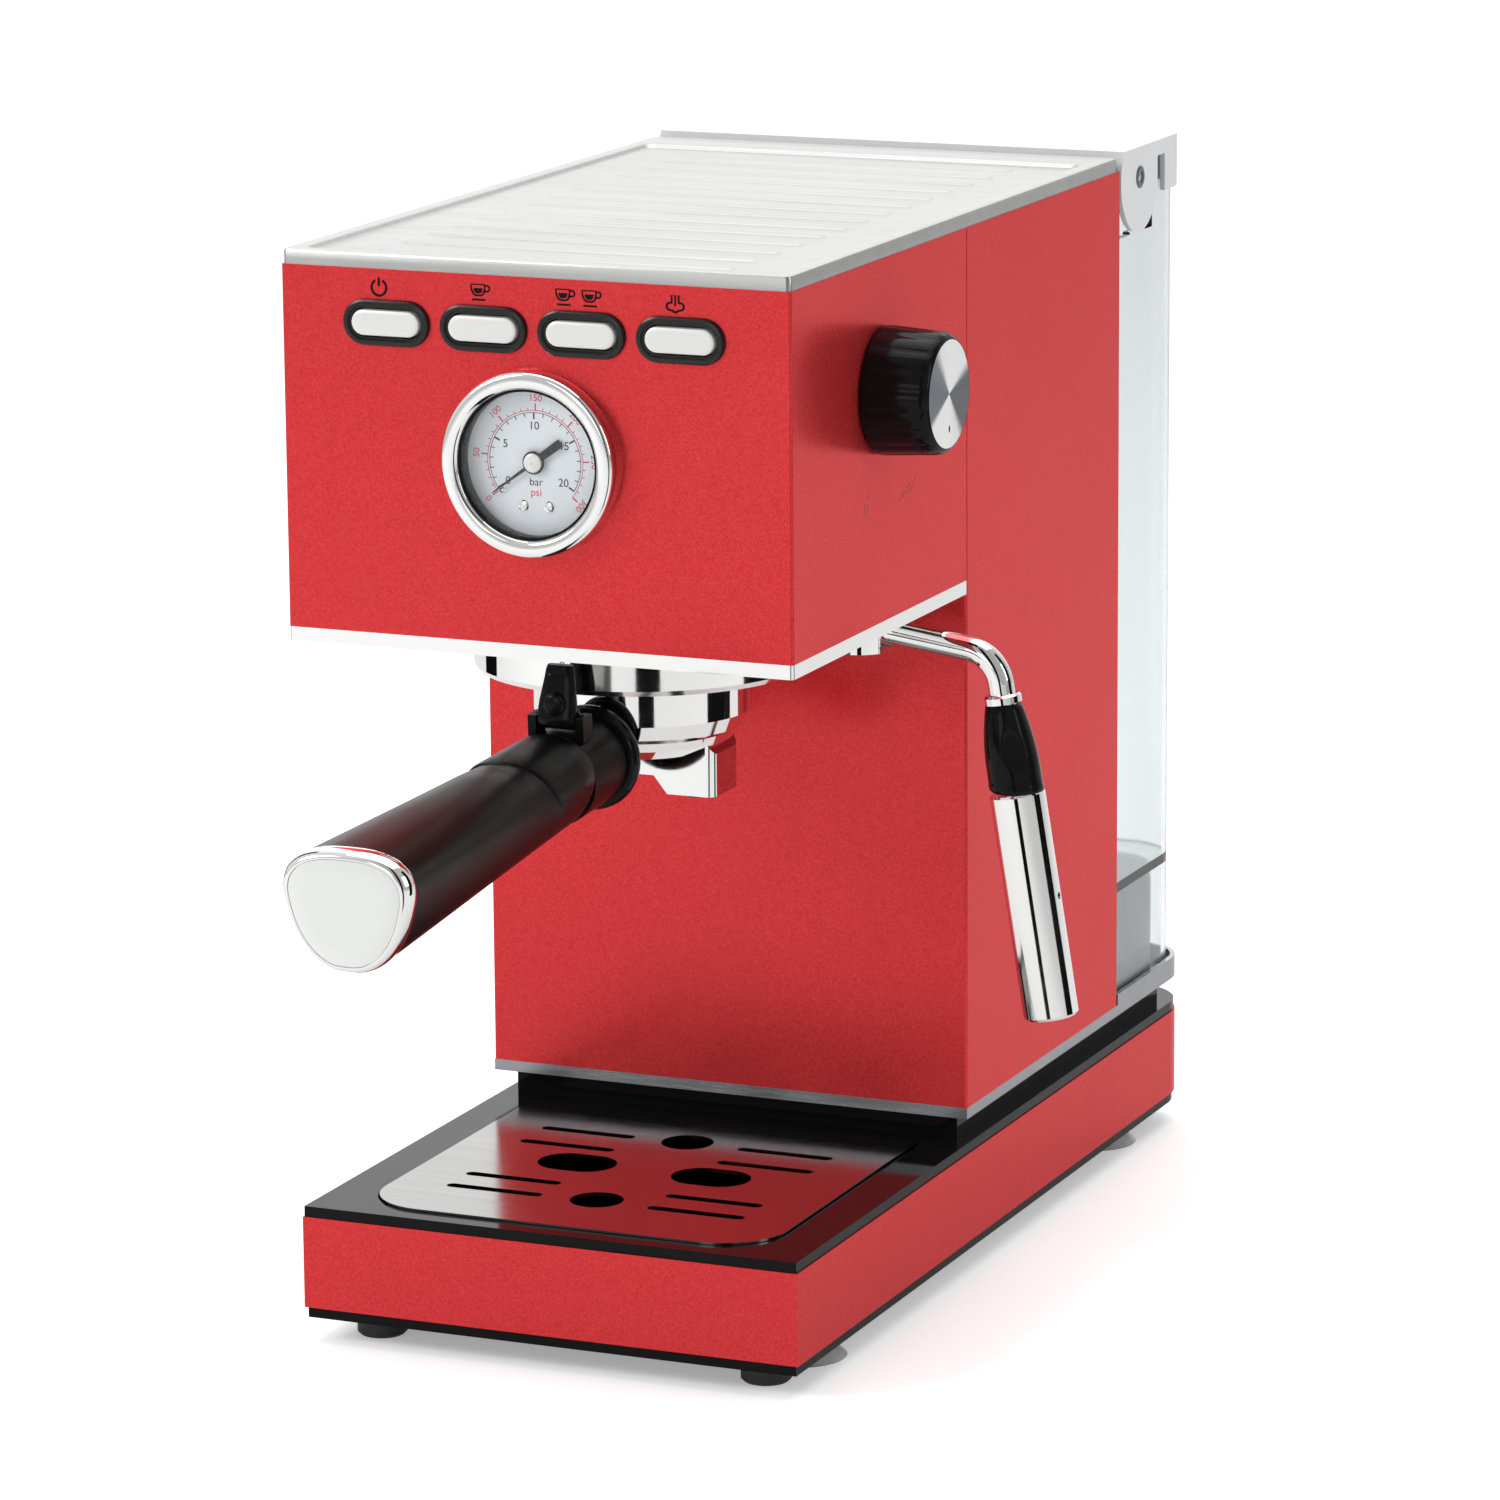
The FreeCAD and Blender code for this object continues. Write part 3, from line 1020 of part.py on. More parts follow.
def main():
    make_base()
    make_column()
    make_shelf()
    make_buttons()
    make_gauge()
    make_knob()
    make_group()
    make_portafilter()
    make_handle()
    make_wand()
    make_tray()
    make_tank()
    make_inside()
    doc.recompute()
    for item in doc.Objects:
        if "Invalid" in item.State or "Error" in item.State:
            raise ValueError("%s failed: %s" % (item.Label, item.State))
    for name, item in nodes.items():
        if item.Shape.isNull() or not item.Shape.isValid() or not item.Shape.Solids:
            raise ValueError("%s has no sound shape" % name)
    os.makedirs("parts", exist_ok=True)
    for name, item in nodes.items():
        item.Shape.exportStep("parts/%s.step" % name)
        print(name, len(item.Shape.Solids), round(item.Shape.Volume))


main()
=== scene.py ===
import json
from math import asin, atan2, copysign, cos, hypot, pi, radians, sin

import bmesh
import bpy
from mathutils import Matrix, Vector


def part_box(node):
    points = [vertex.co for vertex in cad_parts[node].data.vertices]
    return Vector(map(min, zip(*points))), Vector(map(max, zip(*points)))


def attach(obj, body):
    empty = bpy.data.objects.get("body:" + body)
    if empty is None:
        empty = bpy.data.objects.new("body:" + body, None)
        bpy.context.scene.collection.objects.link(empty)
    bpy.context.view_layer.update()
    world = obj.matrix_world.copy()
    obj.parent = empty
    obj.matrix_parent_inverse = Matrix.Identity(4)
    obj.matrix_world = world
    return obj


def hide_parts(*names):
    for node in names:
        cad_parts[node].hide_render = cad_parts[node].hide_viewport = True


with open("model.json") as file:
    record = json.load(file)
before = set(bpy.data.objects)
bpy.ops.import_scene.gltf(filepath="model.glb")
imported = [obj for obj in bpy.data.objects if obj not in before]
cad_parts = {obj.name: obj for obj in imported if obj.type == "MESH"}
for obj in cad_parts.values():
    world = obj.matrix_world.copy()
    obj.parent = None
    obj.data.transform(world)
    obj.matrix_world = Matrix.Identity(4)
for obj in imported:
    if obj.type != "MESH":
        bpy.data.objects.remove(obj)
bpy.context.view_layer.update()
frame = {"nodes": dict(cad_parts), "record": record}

scene = bpy.context.scene

# drawing frame: x from the middle plane, y from the head's front, z from the floor, all in millimetres
headLow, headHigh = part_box("head_shell")
middleX = (headLow[0] + headHigh[0])/2
frontY = headLow[1]


def at(x, y, z):
    return Vector((middleX + x/1000, frontY + y/1000, z/1000))


# ---- camera, light and floor

mainView = {"azimuth": 23.21, "elevation": 12.53, "roll": -0.45, "distance": 1.9353,
            "right": 0.0092, "up": -0.0108, "lens": 163.7, "target": (0, 120, 160)}


def makeCamera(view):
    turn, lift, roll = (radians(view[k]) for k in ("azimuth", "elevation", "roll"))
    back = Vector((sin(turn)*cos(lift), -cos(turn)*cos(lift), sin(lift)))
    right = Vector((cos(turn), sin(turn), 0))
    up = back.cross(right)
    spot = at(*view["target"]) + back*view["distance"] + right*view["right"] + up*view["up"]
    across = right*cos(roll) + up*sin(roll)
    above = up*cos(roll) - right*sin(roll)
    data = bpy.data.cameras.new("mainCamera")
    data.lens, data.sensor_width, data.clip_end = view["lens"], 36, 100
    camera = bpy.data.objects.new("mainCamera", data)
    scene.collection.objects.link(camera)
    camera.matrix_world = Matrix.Translation(spot) @ Matrix((across, above, back)).transposed().to_4x4()
    scene.camera = camera


lamps = {"key": {"spot": (-1.2, -1.2, 1.1), "size": 0.7, "power": 15},
         "top": {"spot": (0.0, 0.3, 2.0), "size": 1.8, "power": 17},
         "side": {"spot": (1.9, 0.2, 0.9), "size": 1.0, "power": 9},
         "front": {"spot": (-0.3, -2.3, 0.6), "size": 0.8, "power": 3}}
# narrow black cards that only bright metal mirrors; bearings turn from +X towards +Y
cards = {"behindCamera": {"bearing": -67, "wide": 0.11, "far": 0.42},
         "rightCard": {"bearing": 14, "wide": 0.24, "far": 0.5},
         "leftCard": {"bearing": 176, "wide": 0.14, "far": 0.5}}
cardFoot, cardTop = 0.005, 0.75
lampAim = (0, 0, 0.15)


def makeLamps():
    for name, lamp in lamps.items():
        data = bpy.data.lights.new(name, "AREA")
        data.shape, data.size, data.energy = "SQUARE", lamp["size"], lamp["power"]
        light = bpy.data.objects.new(name, data)
        scene.collection.objects.link(light)
        spot = Vector(lamp["spot"])
        aim = (spot - Vector(lampAim)).to_track_quat("Z", "Y")
        light.matrix_world = Matrix.Translation(spot) @ aim.to_matrix().to_4x4()


studio = {"back": 0.92, "glow": 1.45, "left": 0.75, "front": 0.4, "right": 0.5, "under": 0.4, "lift": 0.32,
          "floor": (0.95, 0.95, 0.95), "mirrored": 0.58, "throughTank": 0.55, "floorSize": 30}


def link(tree, *pairs):
    for source, target in pairs:
        tree.links.new(source, target)


def ramp(tree, stops):
    node = tree.nodes.new("ShaderNodeValToRGB")
    points = node.color_ramp.elements
    while len(points) < len(stops):
        points.new(0.5)
    for point, (place, value) in zip(points, stops):
        point.position = place
        point.color = (value, value, value, 1) if isinstance(value, (int, float)) else (*value, 1)
    return node


def mathNode(tree, kind, first, second=None):
    node = tree.nodes.new("ShaderNodeMath")
    node.operation = kind
    for socket, value in zip(node.inputs, (first, second)):
        if value is None:
            continue
        if isinstance(value, (int, float)):
            socket.default_value = value
        else:
            tree.links.new(value, socket)
    return node.outputs[0]


def makeStudio():
    world = bpy.data.worlds.new("studio")
    scene.world = world
    world.use_nodes = True
    tree = world.node_tree
    shade = tree.nodes["Background"]
    place = tree.nodes.new("ShaderNodeTexCoord")
    split = tree.nodes.new("ShaderNodeSeparateXYZ")
    link(tree, (place.outputs["Generated"], split.inputs[0]))
    around = mathNode(tree, "DIVIDE", mathNode(tree, "ARCTAN2", split.outputs["Y"], split.outputs["X"]), 2*pi)
    back, glow, left, front, right = (studio[k] for k in ("back", "glow", "left", "front", "right"))
    sides = ramp(tree, [(0.0, right), (0.12, right), (0.24, back), (0.28, glow), (0.37, glow), (0.41, back),
                        (0.5, left), (0.62, left), (0.76, front), (0.9, front), (1.0, right)])
    lift = ramp(tree, [(0.0, studio["under"]), (0.48, studio["under"]), (0.52, 1.0)])
    half = mathNode(tree, "MULTIPLY_ADD", split.outputs["Z"], 0.5)
    half.node.inputs[2].default_value = 0.5
    both = tree.nodes.new("ShaderNodeMix")
    both.data_type, both.blend_type = "RGBA", "MULTIPLY"
    both.inputs["Factor"].default_value = 1
    link(tree, (mathNode(tree, "FRACT", mathNode(tree, "ADD", around, 1.0)), sides.inputs[0]), (half, lift.inputs[0]),
         (sides.outputs[0], both.inputs[6]), (lift.outputs[0], both.inputs[7]))
    seen = tree.nodes.new("ShaderNodeLightPath")
    pick = tree.nodes.new("ShaderNodeMix")
    pick.data_type = "RGBA"
    pick.inputs[7].default_value = (1, 1, 1, 1)
    plainView = mathNode(tree, "MAXIMUM", seen.outputs["Is Camera Ray"], seen.outputs["Is Transmission Ray"])
    link(tree, (plainView, pick.inputs["Factor"]), (both.outputs[2], pick.inputs[6]),
         (pick.outputs[2], shade.inputs["Color"]))
    shade.inputs["Strength"].default_value = 1.0
    scene.view_settings.view_transform = "Standard"

    size = studio["floorSize"]
    sheet = bpy.data.meshes.new("floor")
    sheet.from_pydata([(-size, -size, 0), (size, -size, 0), (size, size, 0), (-size, size, 0)], [], [(0, 1, 2, 3)])
    floor = bpy.data.objects.new("floor", sheet)
    scene.collection.objects.link(floor)
    finish = bpy.data.materials.new("paleFloor")
    finish.use_nodes = True
    skin = finish.node_tree.nodes["Principled BSDF"]
    skin.inputs["Roughness"].default_value = 0.9
    skin.inputs["Specular IOR Level"].default_value = 0.1
    skin.inputs["Emission Strength"].default_value = studio["lift"]
    tree = finish.node_tree
    seen = tree.nodes.new("ShaderNodeLightPath")
    through = mathNode(tree, "MULTIPLY", seen.outputs["Is Transmission Ray"], studio["throughTank"])
    mirrored = mathNode(tree, "SUBTRACT", seen.outputs["Is Glossy Ray"], through)
    mirrored.node.use_clamp = True
    for label, plain in (("Base Color", studio["floor"]), ("Emission Color", (1, 1, 1))):
        dim = tree.nodes.new("ShaderNodeMix")
        dim.data_type = "RGBA"
        dim.inputs[6].default_value = (*plain, 1)
        dim.inputs[7].default_value = (*(studio["mirrored"]*c for c in plain), 1)
        link(tree, (mirrored, dim.inputs["Factor"]), (dim.outputs[2], skin.inputs[label]))
    sheet.materials.append(finish)


def makeCards():
    felt = bpy.data.materials.new("blackFelt")
    felt.use_nodes = True
    skin = felt.node_tree.nodes["Principled BSDF"]
    skin.inputs["Base Color"].default_value = (0.004, 0.004, 0.004, 1)
    skin.inputs["Specular IOR Level"].default_value = 0
    for name, card in cards.items():
        way = radians(card["bearing"])
        out, side = Vector((cos(way), sin(way), 0)), Vector((-sin(way), cos(way), 0))
        mid = out*card["far"]
        mesh = bpy.data.meshes.new(name)
        corners = ((-1, cardFoot), (1, cardFoot), (1, cardTop), (-1, cardTop))
        mesh.from_pydata([mid + side*s*card["wide"]/2 + Vector((0, 0, z)) for s, z in corners], [], [(0, 1, 2, 3)])
        mesh.materials.append(felt)
        board = bpy.data.objects.new(name, mesh)
        scene.collection.objects.link(board)
        board.visible_camera = board.visible_diffuse = board.visible_shadow = board.visible_transmission = False


makeCamera(mainView)
makeLamps()
makeStudio()
makeCards()
print("stage: camera, lamps and floor")


# ---- shared shader groups

number, vector = "NodeSocketFloat", "NodeSocketVector"


def newGroup(name, inputs, outputs):
    group = bpy.data.node_groups.new(name, "ShaderNodeTree")
    for label, kind, value in inputs:
        socket = group.interface.new_socket(label, in_out="INPUT", socket_type=kind)
        if value is not None:
            socket.default_value = value
    for label, kind in outputs:
        group.interface.new_socket(label, in_out="OUTPUT", socket_type=kind)
    return group, group.nodes.new("NodeGroupInput"), group.nodes.new("NodeGroupOutput")


def noiseNode(tree, place, scale, detail=2.0, rough=0.5):
    node = tree.nodes.new("ShaderNodeTexNoise")
    node.inputs["Detail"].default_value = detail
    node.inputs["Roughness"].default_value = rough
    tree.links.new(place, node.inputs["Vector"])
    if isinstance(scale, (int, float)):
        node.inputs["Scale"].default_value = scale
    else:
        tree.links.new(scale, node.inputs["Scale"])
    return node


def flakeGroup():
    # fine metal flakes in paint: a speckled mask and a height
    group, given, out = newGroup("paintFlake", [("Vector", vector, None), ("Scale", number, 2600.0)],
                                 [("Speckle", number), ("Height", number)])
    fine = noiseNode(group, given.outputs["Vector"], given.outputs["Scale"], 3.0, 0.65)
    cells = group.nodes.new("ShaderNodeTexVoronoi")
    link(group, (given.outputs["Vector"], cells.inputs["Vector"]), (given.outputs["Scale"], cells.inputs["Scale"]))
    shift = mathNode(group, "SUBTRACT", fine.outputs["Fac"], 0.5)
    spark = mathNode(group, "MULTIPLY", cells.outputs["Distance"], 0.35)
    speckle = mathNode(group, "ADD", mathNode(group, "MULTIPLY", shift, 1.5), mathNode(group, "ADD", spark, 0.4))
    link(group, (speckle, out.inputs["Speckle"]), (fine.outputs["Fac"], out.inputs["Height"]))
    return group


def handledGroup():
    # handling marks: cloudy smears and fine scratches for roughness
    group, given, out = newGroup("handled", [("Vector", vector, None), ("Clean", number, 0.1),
                                             ("Worn", number, 0.2)],
                                 [("Roughness", number), ("Marks", number)])
    smear = noiseNode(group, given.outputs["Vector"], 24.0, 5.0, 0.6)
    soft = ramp(group, [(0.42, 0.0), (0.68, 1.0)])
    fine = noiseNode(group, given.outputs["Vector"], 700.0, 2.0)
    link(group, (smear.outputs["Fac"], soft.inputs[0]))
    marks = mathNode(group, "MULTIPLY", soft.outputs[0], mathNode(group, "ADD", fine.outputs["Fac"], 0.5))
    span = mathNode(group, "SUBTRACT", given.outputs["Worn"], given.outputs["Clean"])
    rough = mathNode(group, "MULTIPLY_ADD", marks, span)
    link(group, (given.outputs["Clean"], rough.node.inputs[2]), (rough, out.inputs["Roughness"]),
         (marks, out.inputs["Marks"]))
    return group


def brushedGroup():
    # long brush lines: the vector is squeezed along one direction
    group, given, out = newGroup("brushLines", [("Vector", vector, None), ("Squeeze", vector, (0.03, 1, 1)),
                                                ("Scale", number, 1500.0)],
                                 [("Lines", number), ("Streak", number)])
    squeezed = group.nodes.new("ShaderNodeVectorMath")
    squeezed.operation = "MULTIPLY"
    link(group, (given.outputs["Vector"], squeezed.inputs[0]), (given.outputs["Squeeze"], squeezed.inputs[1]))
    fine = noiseNode(group, squeezed.outputs[0], given.outputs["Scale"], 4.0, 0.7)
    broad = noiseNode(group, squeezed.outputs[0], 240.0, 2.0)
    link(group, (fine.outputs["Fac"], out.inputs["Lines"]), (broad.outputs["Fac"], out.inputs["Streak"]))
    return group


def mouldedGroup():
    # moulded plastic: a fine pebble and slow unevenness
    group, given, out = newGroup("mouldedSkin", [("Vector", vector, None), ("Scale", number, 1800.0)],
                                 [("Height", number), ("Cloud", number)])
    cells = group.nodes.new("ShaderNodeTexVoronoi")
    cells.feature = "SMOOTH_F1"
    link(group, (given.outputs["Vector"], cells.inputs["Vector"]), (given.outputs["Scale"], cells.inputs["Scale"]))
    slow = noiseNode(group, given.outputs["Vector"], 30.0, 3.0)
    link(group, (cells.outputs["Distance"], out.inputs["Height"]), (slow.outputs["Fac"], out.inputs["Cloud"]))
    return group


groups = {"flake": flakeGroup(), "handled": handledGroup(), "brushed": brushedGroup(), "moulded": mouldedGroup()}


# ---- finishes

def newFinish(name, colour, rough, metal=0.0, **fixed):
    finish = bpy.data.materials.new(name)
    finish.use_nodes = True
    tree = finish.node_tree
    skin = tree.nodes["Principled BSDF"]
    skin.inputs["Base Color"].default_value = (*colour, 1)
    skin.inputs["Roughness"].default_value = rough
    skin.inputs["Metallic"].default_value = metal
    for label, value in fixed.items():
        skin.inputs[label.replace("_", " ")].default_value = value
    place = tree.nodes.new("ShaderNodeTexCoord").outputs["Object"]
    return finish, tree, skin, place


def useGroup(tree, name, place, **values):
    node = tree.nodes.new("ShaderNodeGroup")
    node.node_tree = groups[name]
    tree.links.new(place, node.inputs["Vector"])
    for label, value in values.items():
        node.inputs[label].default_value = value
    return node


def bump(tree, skin, height, strength, depth):
    node = tree.nodes.new("ShaderNodeBump")
    node.inputs["Strength"].default_value = strength
    node.inputs["Distance"].default_value = depth
    link(tree, (height, node.inputs["Height"]), (node.outputs["Normal"], skin.inputs["Normal"]))


def tint(tree, skin, factor, dark, light):
    node = tree.nodes.new("ShaderNodeMix")
    node.data_type = "RGBA"
    node.inputs[6].default_value = (*dark, 1)
    node.inputs[7].default_value = (*light, 1)
    link(tree, (factor, node.inputs["Factor"]), (node.outputs[2], skin.inputs["Base Color"]))


def wear(tree, skin, place, clean, worn):
    node = useGroup(tree, "handled", place, Clean=clean, Worn=worn)
    link(tree, (node.outputs["Roughness"], skin.inputs["Roughness"]))
    return node


def paintFinish(name, dark, light, scale):
    finish, tree, skin, place = newFinish(name, light, 0.26, 0.62, Coat_Weight=0.06, Coat_Roughness=0.12,
                                          Specular_IOR_Level=0.35,
                                          Specular_Tint=(1, 0.5, 0.5, 1))
    flake = useGroup(tree, "flake", place, Scale=scale)
    tint(tree, skin, flake.outputs["Speckle"], dark, light)
    wear(tree, skin, place, 0.24, 0.31)
    bump(tree, skin, flake.outputs["Height"], 0.1, 0.0001)
    return finish


def brightMetal(name, colour, clean, worn):
    finish, tree, skin, place = newFinish(name, colour, clean, 1.0)
    marks = wear(tree, skin, place, clean, worn)
    bump(tree, skin, marks.outputs["Marks"], 0.03, 0.00005)
    return finish


def brushedMetal(name, colour, clean, squeeze, strength=0.12, scale=1500.0):
    finish, tree, skin, place = newFinish(name, colour, clean, 1.0)
    lines = useGroup(tree, "brushed", place, Squeeze=squeeze, Scale=scale)
    tint(tree, skin, lines.outputs["Streak"], tuple(0.86*c for c in colour), tuple(min(1, 1.06*c) for c in colour))
    span = mathNode(tree, "MULTIPLY_ADD", lines.outputs["Lines"], 0.22)
    span.node.inputs[2].default_value = clean - 0.08
    link(tree, (span, skin.inputs["Roughness"]))
    bump(tree, skin, lines.outputs["Lines"], strength, 0.00008)
    return finish


def plastic(name, dark, light, clean, worn, pebble=0.1, scale=1800.0, **fixed):
    finish, tree, skin, place = newFinish(name, light, clean, 0.0, **fixed)
    skinDeep = useGroup(tree, "moulded", place, Scale=scale)
    tint(tree, skin, skinDeep.outputs["Cloud"], dark, light)
    wear(tree, skin, place, clean, worn)
    bump(tree, skin, skinDeep.outputs["Height"], pebble, 0.00008)
    return finish


def clearFinish(name, colour, clean, worn, depth):
    finish, tree, skin, place = newFinish(name, colour, clean, 0.0, Transmission_Weight=1.0, IOR=1.46)
    marks = wear(tree, skin, place, clean, worn)
    bump(tree, skin, marks.outputs["Marks"], 0.05, depth)
    return finish


finishes = {
    "red_paint": paintFinish("satinRedPaint", (0.42, 0.014, 0.016), (0.78, 0.056, 0.061), 2200.0),
    "chrome": brightMetal("polishedChrome", (0.90, 0.90, 0.89), 0.035, 0.10),
    "steel": brushedMetal("brushedSteel", (0.50, 0.50, 0.495), 0.32, (0.03, 1, 1)),
    "silver_paint": plastic("silverPaint", (0.60, 0.60, 0.585), (0.64, 0.64, 0.62), 0.30, 0.34, 0.0, Metallic=0.15),
    "black_gloss": plastic("blackGloss", (0.004, 0.004, 0.004), (0.008, 0.007, 0.008), 0.06, 0.12, 0.0,
                           Specular_IOR_Level=0.1),
    "black_matte": plastic("blackPlastic", (0.0015, 0.0014, 0.0014), (0.004, 0.0035, 0.0035), 0.30, 0.35, 0.03,
                           Specular_IOR_Level=0.12),
    "rubber": plastic("blackRubber", (0.012, 0.012, 0.012), (0.022, 0.022, 0.022), 0.55, 0.7, 0.2),
    "clear_rubber": plastic("clearRubber", (0.75, 0.76, 0.75), (0.86, 0.87, 0.86), 0.2, 0.3, 0.05,
                            Transmission_Weight=0.7, IOR=1.4),
    "clear_plastic": clearFinish("clearTank", (0.84, 0.875, 0.885), 0.03, 0.10, 0.0001),
    "pale_plastic": plastic("paleLid", (0.52, 0.53, 0.54), (0.57, 0.58, 0.59), 0.10, 0.20, 0.02, Coat_Weight=0.1),
    "grey_plastic": plastic("greyPlastic", (0.10, 0.12, 0.135), (0.15, 0.17, 0.19), 0.35, 0.5, 0.1),
    "white_dial": plastic("dialWhite", (0.56, 0.60, 0.63), (0.60, 0.64, 0.67), 0.4, 0.5, 0.02),
    "red_plastic": plastic("floatRed", (0.55, 0.01, 0.02), (0.7, 0.02, 0.03), 0.3, 0.4, 0.05),
    "aluminium": brushedMetal("castAluminium", (0.62, 0.63, 0.64), 0.42, (1, 1, 1), 0.3, 900.0),
    "brass": brushedMetal("brass", (0.71, 0.52, 0.22), 0.3, (1, 1, 0.1)),
    "green_board": plastic("boardGreen", (0.01, 0.12, 0.04), (0.02, 0.18, 0.07), 0.3, 0.4, 0.05),
    "hose": plastic("clearHose", (0.6, 0.6, 0.58), (0.7, 0.7, 0.68), 0.25, 0.4, 0.05, Transmission_Weight=0.4),
}
slotOf = {part["node"]: part["material_slot"] for part in frame["record"]["subparts"]}
for name, cadPiece in frame["nodes"].items():
    for place in cadPiece.material_slots:
        place.link = "OBJECT"
        place.material = finishes[slotOf[name]]
print("stage: finishes on", len(frame["nodes"]), "CAD pieces")


def finishNode(name, finish):
    for place in frame["nodes"][name].material_slots:
        place.material = finish


finishNode("gauge_glass", plastic("gaugeGlass", (0.9, 0.92, 0.93), (1, 1, 1), 0.02, 0.06, 0.0, Alpha=0.03))
finishNode("column_trim", brushedMetal("greyTrim", (0.36, 0.37, 0.39), 0.22, (0.03, 1, 1), 0.04))
finishNode("drip_grid", brushedMetal("gridSteel", (0.33, 0.33, 0.325), 0.13, (0.03, 1, 1), 0.04))


# ---- mesh helpers

def settle(mesh, angle=32):
    shape = bmesh.new()
    shape.from_mesh(mesh)
    bmesh.ops.remove_doubles(shape, verts=shape.verts, dist=1e-6)
    bmesh.ops.recalc_face_normals(shape, faces=shape.faces)
    shape.to_mesh(mesh)
    shape.free()
    mesh.polygons.foreach_set("use_smooth", [True]*len(mesh.polygons))
    mesh.set_sharp_from_angle(angle=radians(angle))
    mesh.update()


def adopt(name, mesh, body, replaced=()):
    piece = bpy.data.objects.new(name, mesh)
    mesh.name = name
    scene.collection.objects.link(piece)
    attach(piece, body)
    if replaced:
        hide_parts(*replaced)


def tubeMesh(name, loops, finish, ring=False, angle=32):
    # skin through the loops: closed on itself as a ring, otherwise capped at both ends
    count = len(loops[0])
    mesh = bpy.data.meshes.new(name)
    faces = []
    spans = len(loops) if ring else len(loops) - 1
    for i in range(spans):
        a, b = i*count, ((i + 1) % len(loops))*count
        faces += [(a + k, a + (k + 1) % count, b + (k + 1) % count, b + k) for k in range(count)]
    if not ring:
        faces += [tuple(range(count)), tuple(range((len(loops) - 1)*count, len(loops)*count))]
    mesh.from_pydata([tuple(p) for loop in loops for p in loop], [], faces)
    mesh.materials.append(finish)
    settle(mesh, angle)
    return mesh


def latheMesh(name, profile, origin, axis, side, finish, steps=96, ring=True, angle=32, radiusAt=None):
    axis, side = Vector(axis).normalized(), Vector(side).normalized()
    third = axis.cross(side)
    loops = []
    for radius, along in profile:
        loop = []
        for k in range(steps):
            turn = 2*pi*k/steps
            r = radiusAt(radius, along, turn) if radiusAt else radius
            loop.append(origin + (axis*along + (side*cos(turn) + third*sin(turn))*max(r, 1e-5))/1000)
        loops.append(loop)
    return tubeMesh(name, loops, finish, ring=ring, angle=angle)


def stadiumLoop(length, tall, steps=14):
    radius, reach = tall/2, (length - tall)/2
    turns = [pi*(k/steps - 0.5) for k in range(steps + 1)]
    return ([(reach + radius*cos(t), radius*sin(t)) for t in turns]
            + [(-reach - radius*cos(t), -radius*sin(t)) for t in turns])


def flatTo(origin, right, up):
    right, up = Vector(right), Vector(up)
    out = right.cross(up)
    turn = Matrix((right, up, out)).transposed().to_4x4()
    return Matrix.Translation(origin) @ turn @ Matrix.Scale(0.001, 4)


def gather(name, meshes, finish):
    shape = bmesh.new()
    for mesh in meshes:
        shape.from_mesh(mesh)
    whole = bpy.data.meshes.new(name)
    shape.to_mesh(whole)
    shape.free()
    for mesh in meshes:
        bpy.data.meshes.remove(mesh)
    whole.materials.clear()
    whole.materials.append(finish)
    for face in whole.polygons:
        face.material_index = 0
    return whole


# ---- geometry node trees

def newTree(name, inputs):
    tree = bpy.data.node_groups.new(name, "GeometryNodeTree")
    tree.interface.new_socket("Geometry", in_out="INPUT", socket_type="NodeSocketGeometry")
    for label, kind, value in inputs:
        socket = tree.interface.new_socket(label, in_out="INPUT", socket_type=kind)
        if value is not None:
            socket.default_value = value
    tree.interface.new_socket("Geometry", in_out="OUTPUT", socket_type="NodeSocketGeometry")
    return tree, tree.nodes.new("NodeGroupInput").outputs, tree.nodes.new("NodeGroupOutput").inputs


def node(tree, kind, **settings):
    made = tree.nodes.new("GeometryNode" + kind)
    for label, value in settings.items():
        setattr(made, label, value)
    return made


def finishTree(tree, given, out, geometry):
    real, dress = node(tree, "RealizeInstances"), node(tree, "SetMaterial")
    link(tree, (geometry, real.inputs[0]), (real.outputs[0], dress.inputs["Geometry"]),
         (given["Finish"], dress.inputs["Material"]), (dress.outputs[0], out[0]))


def ticksTree():
    # short bars set round an arc, long side pointing at its middle
    tree, given, out = newTree("dialTicks", [
        ("Count", "NodeSocketInt", 21), ("Radius", number, 13.0), ("Start", number, -2.16),
        ("Step", number, 0.2), ("Bar", vector, (0.2, 1, 0.05)), ("Finish", "NodeSocketMaterial", None)])
    dots, spot, turn = node(tree, "Points"), tree.nodes.new("ShaderNodeCombineXYZ"), tree.nodes.new("ShaderNodeCombineXYZ")
    index = node(tree, "InputIndex")
    angle = mathNode(tree, "MULTIPLY_ADD", index.outputs[0])
    link(tree, (given["Step"], angle.node.inputs[1]), (given["Start"], angle.node.inputs[2]),
         (given["Count"], dots.inputs["Count"]),
         (mathNode(tree, "MULTIPLY", mathNode(tree, "SINE", angle), given["Radius"]), spot.inputs[0]),
         (mathNode(tree, "MULTIPLY", mathNode(tree, "COSINE", angle), given["Radius"]), spot.inputs[1]),
         (spot.outputs[0], dots.inputs["Position"]), (mathNode(tree, "MULTIPLY", angle, -1.0), turn.inputs[2]))
    bar, spread = node(tree, "MeshCube"), node(tree, "InstanceOnPoints")
    link(tree, (given["Bar"], bar.inputs["Size"]), (dots.outputs[0], spread.inputs["Points"]),
         (bar.outputs[0], spread.inputs["Instance"]), (turn.outputs[0], spread.inputs["Rotation"]))
    finishTree(tree, given, out, spread.outputs[0])
    return tree


